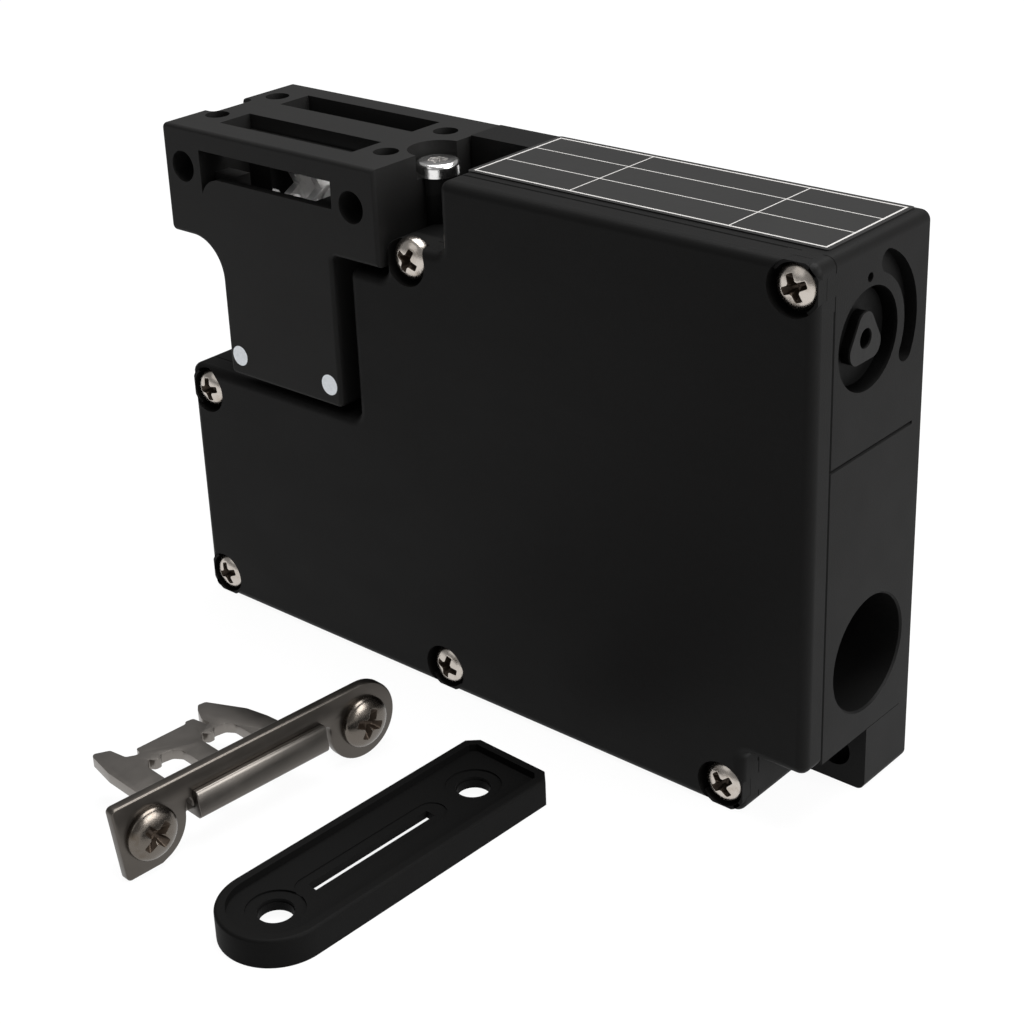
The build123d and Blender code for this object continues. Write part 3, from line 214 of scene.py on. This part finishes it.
# Gasket: a nitrile rubber cord between tray and lid. It is pressed into its groove, so that only a thin
# line shows at the seam.
gasket_rubber = moulded_black("gasket_rubber", 0.012, 0.75, 0.1, 0.2)
dress("cover_gasket", gasket_rubber)

# Lid screws: six nickel plated steel pan heads with a cross recess, sunk in round scoops of the lid and
# screwed into the bosses of the tray. The plating is bright and warm, with dirt and painted shade in the
# recess.


def plated_steel(name, level, warm, roughness):
    """Plated or bright steel with small stains and a fine uneven gloss."""
    finish = Finish(name)
    place = finish.place()
    smudge = finish.noise(place, 420, 4, 0.65)
    grit = finish.noise(place, 3600, 3, 0.7)
    stain = (smudge - 0.52).most(0.0) * 3.0
    shade = finish.mix(stain.least(1.0), grey(level, warm), grey(level * 0.62, warm * 2.2))
    gloss = roughness + (grit - 0.5) * 0.18 + (smudge - 0.5) * 0.2
    relief = finish.bump(grit, 0.18, 0.00006)
    return finish.surface({"Base Color": shade, "Metallic": 1.0, "Roughness": gloss, "Normal": relief})


# Profile of a pan head from its edge inwards, as shares of its radius and its height
edge_share = 0.3
dome_turns = [math.radians(turn) for turn in (0, 12, 24, 36, 48, 60, 70, 80)]
pan_profile = [(math.cos(turn), edge_share + (1 - edge_share) * math.sin(turn)) for turn in dome_turns]


def cut_with(body, cutter):
    """Takes the cutter's volume away from the body and deletes the cutter."""
    bpy.ops.object.select_all(action="DESELECT")
    bpy.context.view_layer.objects.active = body
    bpy.ops.object.modifier_add(type="BOOLEAN")
    modifier = body.modifiers[-1]
    modifier.object = cutter
    modifier.operation = "DIFFERENCE"
    modifier.solver = "EXACT"
    bpy.ops.object.modifier_apply(modifier=modifier.name)
    cutter.select_set(True)
    bpy.ops.object.delete()


def soften(body, width, angle):
    """Rounds the edges that are sharper than the angle in degrees."""
    bpy.context.view_layer.objects.active = body
    bpy.ops.object.modifier_add(type="BEVEL")
    modifier = body.modifiers[-1]
    modifier.width = width
    modifier.segments = 3
    modifier.limit_method = "ANGLE"
    modifier.angle_limit = math.radians(angle)
    bpy.ops.object.modifier_apply(modifier=modifier.name)


def pan_head(name, radius, height, shank, length, plating):
    """A domed head on a shank, at the origin and looking up, with a tapered cross recess."""
    bpy.ops.object.select_all(action="DESELECT")
    bpy.ops.mesh.primitive_circle_add(vertices=64, radius=radius, fill_type="NGON")
    head = bpy.context.active_object
    head.name = name
    bpy.ops.object.mode_set(mode="EDIT")
    bpy.ops.mesh.select_all(action="SELECT")
    share, level = 1.0, 0.0
    for next_share, next_level in pan_profile:
        rise = (next_level - level) * height
        bpy.ops.mesh.extrude_region_move(TRANSFORM_OT_translate={"value": (0, 0, rise)})
        bpy.ops.transform.resize(value=(next_share / share, next_share / share, 1))
        share, level = next_share, next_level
    bpy.ops.mesh.select_all(action="SELECT")
    bpy.ops.mesh.normals_make_consistent(inside=False)
    bpy.ops.object.mode_set(mode="OBJECT")
    depth = 0.75 * height
    for turn in (0, 90):
        bpy.ops.mesh.primitive_cone_add(
            vertices=4,
            radius1=0.42 * radius,
            radius2=1.0 * radius,
            depth=depth,
            location=(0, 0, 1.06 * height - depth / 2),
            rotation=(0, 0, math.radians(45)),
        )
        wing = bpy.context.active_object
        bpy.ops.object.transform_apply(location=False, rotation=True, scale=False)
        wing.scale = (1.0, 0.27, 1.0)
        bpy.ops.object.transform_apply(location=False, rotation=False, scale=True)
        wing.rotation_euler.z = math.radians(turn)
        bpy.ops.object.transform_apply(location=False, rotation=True, scale=False)
        soften(wing, 0.05 * radius, 20)
        cut_with(head, wing)
    bpy.ops.mesh.primitive_cone_add(
        vertices=32,
        radius1=0.04 * radius,
        radius2=0.33 * radius,
        depth=depth,
        location=(0, 0, 1.03 * height - depth / 2),
    )
    cut_with(head, bpy.context.active_object)
    head.data.materials.append(plating)
    head.data.materials.append(grime_and_shade)
    # faces in the cross recess get the dark brown second material: dirt and painted shade
    for face in head.data.polygons:
        spread = math.hypot(face.center.x, face.center.y) / radius
        dome = height * (edge_share + (1 - edge_share) * math.sqrt(max(1.0 - spread**2, 0.0)))
        if spread < 0.88 and 0 < face.center.z < dome - 0.08 * height:
            face.material_index = 1
    soften(head, 0.018 * radius, 38)
    bpy.ops.object.select_all(action="DESELECT")
    middle = (0, 0, -length / 2)
    bpy.ops.mesh.primitive_cylinder_add(vertices=32, radius=shank, depth=length, location=middle)
    stem = bpy.context.active_object
    soften(stem, 0.0002, 40)
    stem.data.materials.append(plating)
    head.select_set(True)
    bpy.context.view_layer.objects.active = head
    bpy.ops.object.join()
    bpy.ops.object.shade_smooth_by_angle(angle=math.radians(32))
    return head


def join(pieces, name):
    """Joins the pieces into one, unturned and unscaled at the origin."""
    bpy.ops.object.select_all(action="DESELECT")
    for piece in pieces:
        piece.select_set(True)
    bpy.context.view_layer.objects.active = pieces[0]
    bpy.ops.object.join()
    bpy.ops.object.transform_apply(location=True, rotation=True, scale=True)
    pieces[0].name = name
    return pieces[0]


def set_copies(name, pattern, frames):
    """Copies the pattern to each frame, deletes it and joins the copies into one piece."""
    copies = []
    for matrix in frames:
        bpy.ops.object.select_all(action="DESELECT")
        pattern.select_set(True)
        bpy.context.view_layer.objects.active = pattern
        bpy.ops.object.duplicate(linked=False)
        copy = bpy.context.active_object
        copy.matrix_world = matrix
        bpy.ops.object.transform_apply(location=True, rotation=True, scale=True)
        copies.append(copy)
    bpy.ops.object.select_all(action="DESELECT")
    pattern.select_set(True)
    bpy.ops.object.delete()
    return join(copies, name)


# Dark brown of the cross recesses: dirt, and painted shade that the shallow recess does not cast
grime_and_shade_finish = Finish("recess_grime_and_shade")
grime_and_shade_spread = grime_and_shade_finish.noise(grime_and_shade_finish.place(), 2500, 3)
grime_and_shade_colour = grime_and_shade_finish.mix(grime_and_shade_spread, (0.02, 0.014, 0.01, 1), (0.07, 0.05, 0.035, 1))
grime_and_shade = grime_and_shade_finish.surface({"Base Color": grime_and_shade_colour, "Metallic": 0.7, "Roughness": 0.45})

lid_seat = 0.0234


def on_lid(x, z, turn):
    """A frame on the floor of a scoop that looks out of the lid, turned by so many degrees."""
    facing = Matrix.Rotation(math.radians(90), 4, "X") @ Matrix.Rotation(math.radians(turn), 4, "Z")
    return Matrix.Translation((x, lid_seat, z)) @ facing


scoop_bottom_left = (-0.0612, 0.0038)
scoop_bottom_middle = (-0.0061, 0.0038)
scoop_bottom_right = (0.0502, 0.0038)
scoop_shoulder = (-0.0612, 0.0408)
scoop_step = (-0.0099, 0.0754)
scoop_top_right = (0.0612, 0.0860)
screw_frames = [
    on_lid(*scoop_bottom_left, 20),
    on_lid(*scoop_bottom_middle, 75),
    on_lid(*scoop_bottom_right, 40),
    on_lid(*scoop_shoulder, 10),
    on_lid(*scoop_step, 62),
    on_lid(*scoop_top_right, 24),
]
lid_nickel = plated_steel("screw_nickel", 0.5, 0.09, 0.24)
lid_screw = pan_head("lid_screw", 0.0035, 0.0024, 0.00145, 0.014, lid_nickel)
lid_screws = set_copies("lid_screws", lid_screw, screw_frames)
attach(lid_screws, "switch")
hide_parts("cover_screws")

# Scoop rims: thin walls of the lid, moulded with it, that close the screw scoops where these run into
# its edges. Each is a crescent between the screw's head and the edge.
rim_inside = 3.62
rim_outside = 4.15
rim_height = 0.0021


def arc(middle, radius, start, end, steps):
    """Points in millimetres along an arc from one angle to another."""
    turns = [math.radians(start + (end - start) * step / steps) for step in range(steps + 1)]
    return [(middle[0] + radius * math.cos(turn), middle[1] + radius * math.sin(turn)) for turn in turns]


def trace(name, points, rise, rounding=0.0):
    """A vertex extruded along the outline in millimetres, closed and filled, rounded at its corners and
    raised into a plate of the given thickness."""
    bpy.ops.object.select_all(action="DESELECT")
    bpy.ops.mesh.primitive_plane_add(size=0.001, location=(0, 0, 0))
    piece = bpy.context.active_object
    piece.name = name
    bpy.ops.object.mode_set(mode="EDIT")
    bpy.ops.mesh.select_mode(type="VERT")
    bpy.ops.mesh.select_all(action="SELECT")
    bpy.ops.mesh.merge(type="CENTER")
    bpy.ops.mesh.select_all(action="SELECT")
    spot = Vector((points[0][0], points[0][1], 0)) / 1000
    bpy.ops.transform.translate(value=spot)
    for x, y in points[1:] + points[:1]:
        target = Vector((x, y, 0)) / 1000
        bpy.ops.mesh.extrude_vertices_move(TRANSFORM_OT_translate={"value": target - spot})
        spot = target
    bpy.ops.mesh.select_all(action="SELECT")
    bpy.ops.mesh.remove_doubles(threshold=0.000002)
    bpy.ops.mesh.select_all(action="SELECT")
    bpy.ops.mesh.edge_face_add()
    if rounding:
        bpy.ops.mesh.select_all(action="SELECT")
        bpy.ops.mesh.bevel(offset=rounding, segments=4, affect="VERTICES")
    bpy.ops.mesh.select_all(action="SELECT")
    bpy.ops.mesh.extrude_region_move(TRANSFORM_OT_translate={"value": (0, 0, rise)})
    bpy.ops.mesh.select_all(action="SELECT")
    bpy.ops.mesh.normals_make_consistent(inside=False)
    bpy.ops.object.mode_set(mode="OBJECT")
    return piece


rim_outline = (
    arc((0, 0), rim_inside, 215, 325, 16)
    + arc((0, 0), rim_outside, 325, 294.4, 6)
    + arc((0, 0), rim_outside, 245.6, 215, 6)
)
scoop_rim = trace("scoop_rim", rim_outline, rim_height)
scoop_rim.data.materials.append(housing_black)
to_left, down, to_right, up = -90, 0, 90, 180
rim_frames = [
    on_lid(*scoop_bottom_left, down),
    on_lid(*scoop_bottom_left, to_left),
    on_lid(*scoop_bottom_middle, down),
    on_lid(*scoop_bottom_right, down),
    on_lid(*scoop_bottom_right, to_right),
    on_lid(*scoop_shoulder, to_left),
    on_lid(*scoop_top_right, to_right),
    on_lid(*scoop_top_right, up),
]
scoop_rims = set_copies("scoop_rims", scoop_rim, rim_frames)
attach(scoop_rims, "switch")

# Head screw: a bright plated steel screw that holds the head, half sunk in its right side.
# The CAD's own shape is kept.
dress("head_screw", plated_steel("bright_screw", 0.8, 0.01, 0.2))

# Rating label: a thin dark film stuck in the top, printed with a pale border and blank ruled fields.
# The ink is flat, so border and lines are drawn by the material.
label_low, label_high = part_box("rating_label")
border_inset = 0.0009
border_width = 0.00032
rule_width = 0.0002
print_blur = 0.00004
row_shares = (0.36, 0.68)
column_shares = (0.3, 0.74)
label = Finish("label_film")
label_place = label.place()
across = label.along(label_place, 0)
deep = label.along(label_place, 1)
to_edge = (across - (label_low[0] + border_inset)).least((label_high[0] - border_inset) - across)
to_edge = to_edge.least((deep - (label_low[1] + border_inset)).least((label_high[1] - border_inset) - deep))
inside = 1.0 - to_edge.under(0.0, print_blur)
printed = abs(to_edge).under(border_width / 2, print_blur)
for share in row_shares:
    row = label_low[1] + share * (label_high[1] - label_low[1])
    printed = printed.most(abs(deep - row).under(rule_width / 2, print_blur) * inside)
for share in column_shares:
    column = label_low[0] + share * (label_high[0] - label_low[0])
    printed = printed.most(abs(across - column).under(rule_width / 2, print_blur) * inside)
film_shade = label.mix(label.noise(label_place, 70, 3), grey(0.008, 0.02), grey(0.012, 0.02))
print_shade = label.mix(printed, film_shade, grey(0.4, 0.03))
film_gloss = 0.36 + (label.noise(label_place, 300, 4) - 0.5) * 0.14
film_values = {"Base Color": print_shade, "Roughness": film_gloss, "Specular IOR Level": 0.2}
dress("rating_label", label.surface(film_values))

# Head: a separate black moulding of a smoother plastic with slots for the key in its top and front.
# It is screwed on, so that it can be turned.
head_black = moulded_black("head_black", 0.010, 0.46, 0.2)
dress("head_housing", head_black)

# Head pins: bright zinc plated dowels pressed through the neck, ground flush at the front. Their ends
# are mottled, and duller than a polished face.
pin_finish = Finish("pin_zinc")
pin_mottle = pin_finish.noise(pin_finish.place(), 1400, 4, 0.7)
pin_shade = pin_finish.mix(pin_mottle, grey(0.55, -0.05), grey(0.92, -0.03))
pin_gloss = 0.45 + pin_mottle * 0.2
dress("head_pins", pin_finish.surface({"Base Color": pin_shade, "Metallic": 0.55, "Roughness": pin_gloss}))

# Cam: stamped steel discs on an axle that show in the slots of the head. Their sheared rims are bright
# and catch the light.
cam_steel = plated_steel("cam_steel", 0.95, 0.01, 0.5)
for name in ("cam_discs", "cam_lobe", "cam_axle"):
    dress(name, cam_steel)

# Works inside the housing: natural polyamide mouldings, brass contacts, an enamelled copper winding and
# plated steel parts. None of them shows while the lid is on.
natural_nylon = Finish("natural_nylon")
nylon_place = natural_nylon.place()
nylon_shade = natural_nylon.mix(natural_nylon.noise(nylon_place, 60, 2), grey(0.62, 0.04), grey(0.72, 0.03))
nylon_gloss = 0.5 + natural_nylon.noise(nylon_place, 500) * 0.1
nylon_white = natural_nylon.surface({"Base Color": nylon_shade, "Roughness": nylon_gloss})
nylon_nodes = (
    "rod_guide",
    "push_rod",
    "contact_carrier",
    "contact_block",
    "bolt_guide",
    "solenoid_bobbin",
    "terminal_strip",
)
for name in nylon_nodes:
    dress(name, nylon_white)

brass_finish = Finish("contact_brass")
brass_place = brass_finish.place()
brass_cloud = brass_finish.noise(brass_place, 500, 3)
brass_shade = brass_finish.mix(brass_cloud, (0.62, 0.42, 0.16, 1), (0.72, 0.53, 0.24, 1))
brass_gloss = 0.3 + brass_finish.noise(brass_place, 900) * 0.15
brass = brass_finish.surface({"Base Color": brass_shade, "Metallic": 1.0, "Roughness": brass_gloss})
for name in ("contact_bridges", "fixed_contacts"):
    dress(name, brass)

winding = Finish("copper_winding")
wave_values = {"Vector": winding.place(), "Scale": 900.0}
turns = winding.add("ShaderNodeTexWave", {"bands_direction": "X"}, wave_values, "Fac")
winding_shade = winding.mix(turns, (0.16, 0.045, 0.015, 1), (0.42, 0.15, 0.06, 1))
winding_gloss = 0.35 + turns * 0.1
winding_relief = winding.bump(turns, 0.5, 0.0002)
winding_values = {"Base Color": winding_shade, "Roughness": winding_gloss, "Normal": winding_relief}
dress("solenoid_winding", winding.surface(winding_values))

works_steel = plated_steel("works_steel", 0.5, 0.02, 0.34)
steel_nodes = (
    "rod_spring",
    "plunger_spring",
    "contact_screws",
    "terminal_screws",
    "lock_bolt",
    "lock_lever",
    "lever_post",
    "solenoid_yoke",
    "solenoid_plunger",
    "release_clip",
)
for name in steel_nodes:
    dress(name, works_steel)

# Manual release: a black polyamide stud with a raised triangle, sunk in its seat on a rubber ring. Its
# deeper faces are painted near black as painted shade.
release = Finish("release_black")
release_place = release.place()
release_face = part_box("manual_release")[1][0] - 0.0003
release_depth = 1.0 - release.along(release_place, 0).under(release_face, 0.0001)
release_grain = release.noise(release_place, 900, 3, 0.6)
# painted shade: faces deeper than the stud's top face are made near black
release_shade = release.mix(release_depth, grey(0.0016), grey(0.014, 0.01))
release_gloss = 0.5 + (release_grain - 0.5) * 0.2
release_values = {"Base Color": release_shade, "Roughness": release_gloss, "Specular IOR Level": 0.06}
dress("manual_release", release.surface(release_values))
dress("release_seal", gasket_rubber)

# Key: a plate, a tongue and a lip of stamped and folded stainless sheet, rubbed to a warm grey satin.
# Two pan head screws hold it to the guard. It stands on its lower edge, turned a little from the switch.


def satin_sheet(name, level, warm):
    """Stainless sheet with a faint grain along one axis and cloudy rub marks."""
    finish = Finish(name)
    place = finish.place()
    brushed = finish.noise(finish.stretched(place, (1, 0.08, 1)), 1500, 4, 0.6)
    cloud = finish.noise(place, 150, 4, 0.6)
    shade = finish.mix(cloud, grey(level * 0.78, warm), grey(level * 1.12, warm))
    gloss = 0.34 + (brushed - 0.5) * 0.08 + (cloud - 0.5) * 0.12
    relief = finish.bump(brushed, 0.035, 0.00004)
    return finish.surface({"Base Color": shade, "Metallic": 1.0, "Roughness": gloss, "Normal": relief})


def settle(piece, matrix, material, body, node):
    """Puts a sheet piece in its place and hands it over to its body, in place of a node."""
    piece.matrix_world = matrix
    bpy.ops.object.select_all(action="DESELECT")
    piece.select_set(True)
    bpy.context.view_layer.objects.active = piece
    bpy.ops.object.transform_apply(location=True, rotation=True, scale=True)
    bpy.ops.object.shade_smooth_by_angle(angle=math.radians(35))
    piece.data.materials.append(material)
    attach(piece, body)
    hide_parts(node)


key_turn = math.radians(4.8)
key_along = Vector((math.sin(key_turn), math.cos(key_turn), 0))
key_out = Vector((math.cos(key_turn), -math.sin(key_turn), 0))
key_axes = Matrix((key_along, Vector((0, 0, 1)), key_out)).transposed().to_4x4()
key_origin = Vector((-0.0058, -0.0412, 0))
key_hole_near = -1.9
key_hole_far = 39.0
key_middle = 6.5
key_frames = [
    Matrix.Translation(key_origin + (key_along * along + Vector((0, 0, key_middle))) / 1000)
    @ key_axes
    @ Matrix.Rotation(math.radians(turn), 4, "Z")
    for along, turn in ((key_hole_near, 38), (key_hole_far, 66))
]
corner_radius = 0.8
plate_outline = (
    arc((-7.15, 12.2), corner_radius, 180, 90, 6)
    + arc((key_hole_far, key_middle), key_middle, 90, -170, 40)
    + [(32.6, 7.3)]
    + arc((31.7, 7.6), 0.9, 0, 180, 10)
    + [(30.8, 6.9), (5.9, 6.9), (5.8, 7.9), (5.5, 8.7), (5.0, 8.6), (4.7, 7.6)]
    + arc((key_hole_near, key_middle), key_middle, 0, -62, 14)
    + [(-0.4, 0.1)]
    + arc((-5.9, corner_radius), corner_radius, 270, 186, 6)
)
sheet_thickness = 0.0017
plate_sheet = trace("plate_sheet", plate_outline, sheet_thickness)
soften(plate_sheet, 0.0004, 30)
# painted shade: the plate gets a darker level than the tongue of the same sheet, for its upright front
settle(
    plate_sheet,
    Matrix.Translation(key_origin) @ key_axes @ Matrix.Translation((0, 0, -sheet_thickness)),
    satin_sheet("plate_steel", 0.085, 0.11),
    "key",
    "key_plate",
)
tongue_level = 0.0055
tongue_rounding = 0.0003
tongue_outline = [
    (2.0, 1.7), (2.0, 16.6), (2.9, 22.3), (3.5, 22.8), (5.8, 21.7), (6.4, 18.4), (7.9, 17.6), (8.6, 17.7),
    (8.9, 19.1), (10.3, 19.1), (18.4, 19.2), (18.8, 19.8), (20.2, 19.6), (20.8, 16.4), (21.3, 16.6),
    (21.1, 18.6), (22.2, 21.1), (23.2, 22.4), (24.6, 22.2), (28.0, 15.7), (28.9, 11.6), (29.2, 8.4),
    (29.2, 1.7),
]
tongue_sheet = trace("tongue_sheet", tongue_outline, sheet_thickness, tongue_rounding)
window_pitch = 10.2
window_outline = [
    (7.2, 4.0), (7.2, 13.6), (8.4, 15.2), (9.0, 14.2), (10.1, 14.2), (10.6, 15.0), (12.6, 14.7),
    (13.6, 13.4), (13.6, 4.0),
]
for shift in (0.0, window_pitch):
    cutter = trace("window", [(x + shift, y) for x, y in window_outline], 0.006, tongue_rounding)
    cutter.location.z = -0.002
    cut_with(tongue_sheet, cutter)
soften(tongue_sheet, 0.00025, 40)
# painted light: the tongue gets a lighter level than plate and lip of the same sheet, for its upward top
settle(
    tongue_sheet,
    Matrix.Translation(key_origin + Vector((0, 0, tongue_level)))
    @ Matrix((key_along, -key_out, Vector((0, 0, 1)))).transposed().to_4x4(),
    satin_sheet("tongue_steel", 0.21, 0.08),
    "key",
    "key_tongue",
)
lip_start = 0.0060
lip_length = 0.0248
lip_profile = [
    (-2.2, 5.2), (1.1, 5.2), (1.6, 5.7), (1.7, 6.5), (1.35, 8.0), (1.2, 9.3), (0.9, 9.8), (0.0, 9.8),
    (0.0, 7.0), (-2.2, 7.0),
]
lip = trace("lip_fold", lip_profile, lip_length)
soften(lip, 0.0002, 25)
# painted light and shade: the lip's level lies between those of plate and tongue, though all are one sheet
settle(
    lip,
    Matrix.Translation(key_origin + key_along * lip_start)
    @ Matrix((key_out, Vector((0, 0, 1)), -key_along)).transposed().to_4x4()
    @ Matrix.Translation((0, 0, -lip_length)),
    satin_sheet("lip_steel", 0.11, 0.09),
    "key",
    "key_tongue",
)
key_nickel = plated_steel("key_nickel", 0.12, 0.13, 0.26)
key_bolt = pan_head("key_bolt", 0.0043, 0.0021, 0.0025, 0.0062, key_nickel)
key_bolts = set_copies("key_bolts", key_bolt, key_frames)
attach(key_bolts, "key")
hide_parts("key_screws")

# Pad: a flat black moulding with a rim and a slit, matt all over. It goes between the key and the
# guard and lies loose here.
pad_black = moulded_black("pad_black", 0.003, 0.6, 0.3, 0.05)
dress("key_pad", pad_black)

# Pad collars: low collars moulded under the web of the pad, round its two holes and its slit. They make
# the walls of the openings deeper.
pad_frame = Matrix.Translation((0.018565, -0.0414, 0)) @ Matrix.Rotation(math.radians(-2.4), 4, "Z")
web_underside = 0.0024
web_overlap = 0.0001
collar_radius = 4.3
pad_hole_radius = 2.6
pad_spacing = 39.8
slit_hole = [(-0.9, 6.8), (0.9, 6.8), (0.9, 30.6), (-0.9, 30.6)]
slit_collar = [(-2.4, 5.8), (2.4, 5.8), (2.4, 31.6), (-2.4, 31.6)]
collar_shapes = [(slit_collar, slit_hole, 0.00045)]
for hole_place in (pad_spacing, 0):
    ring = arc((0, hole_place), collar_radius, 0, 345, 23)
    bore = arc((0, hole_place), pad_hole_radius, 0, 350, 35)
    collar_shapes.insert(0, (ring, bore, 0.0012))
collars = []
for outline, hole, depth in collar_shapes:
    collar = trace("pad_collar", outline, depth + web_overlap)
    cutter = trace("collar_hole", hole, 0.004)
    cutter.location.z = -0.002
    cut_with(collar, cutter)
    collar.matrix_world = pad_frame @ Matrix.Translation((0, 0, web_underside - depth))
    collars.append(collar)
pad_bosses = join(collars, "pad_bosses")
pad_bosses.data.materials.append(pad_black)
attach(pad_bosses, "key_pad")

# Table and light: a white sweep and large soft lamps above and at the right, with little from the front.
# The table glows white where it is seen or mirrored, and is grey paint for the light that it bounces.
bpy.ops.object.select_all(action="DESELECT")
bpy.ops.mesh.primitive_grid_add(x_subdivisions=2, y_subdivisions=2, size=6, location=(0, 0, -0.00002))
table = bpy.context.active_object
table.name = "table"
sweep = Finish("table_white")
rays = sweep.tree.nodes.new("ShaderNodeLightPath")
seen = Value(sweep, rays.outputs["Is Camera Ray"])
for kind in ("Is Glossy Ray", "Is Transmission Ray"):
    seen = seen.most(Value(sweep, rays.outputs[kind]))
painted = sweep.add("ShaderNodeBsdfDiffuse", {}, {"Color": grey(0.5)})
glow = sweep.add("ShaderNodeEmission", {}, {"Color": grey(1.0), "Strength": 1.08})
shown = sweep.add("ShaderNodeMixShader", {}, {0: seen * 0.87, 1: painted, 2: glow})
sweep.tree.links.new(shown.socket, sweep.output.inputs["Surface"])
table.data.materials.append(sweep.material)

world = bpy.data.worlds.new("studio")
world.use_nodes = True
bpy.context.scene.world = world
world.node_tree.nodes["Background"].inputs["Color"].default_value = (1, 1, 1, 1)
world.node_tree.nodes["Background"].inputs["Strength"].default_value = 0.28


def lamp(name, place, aim, size, power):
    light = bpy.data.lights.new(name, "AREA")
    light.size = size
    light.energy = power
    holder = bpy.data.objects.new(name, light)
    holder.location = place
    holder.rotation_euler = (Vector(aim) - Vector(place)).to_track_quat("-Z", "Y").to_euler()
    bpy.context.collection.objects.link(holder)


lamp("lamp_top", (0.05, 0.2, 0.8), (0, 0.03, 0.05), 0.7, 13.0)
lamp("lamp_right", (0.8, 0.15, 0.35), (0, 0, 0.05), 0.5, 8.0)
lamp("lamp_front", (-0.25, -0.8, 0.6), (0, 0, 0.03), 0.6, 0.7)
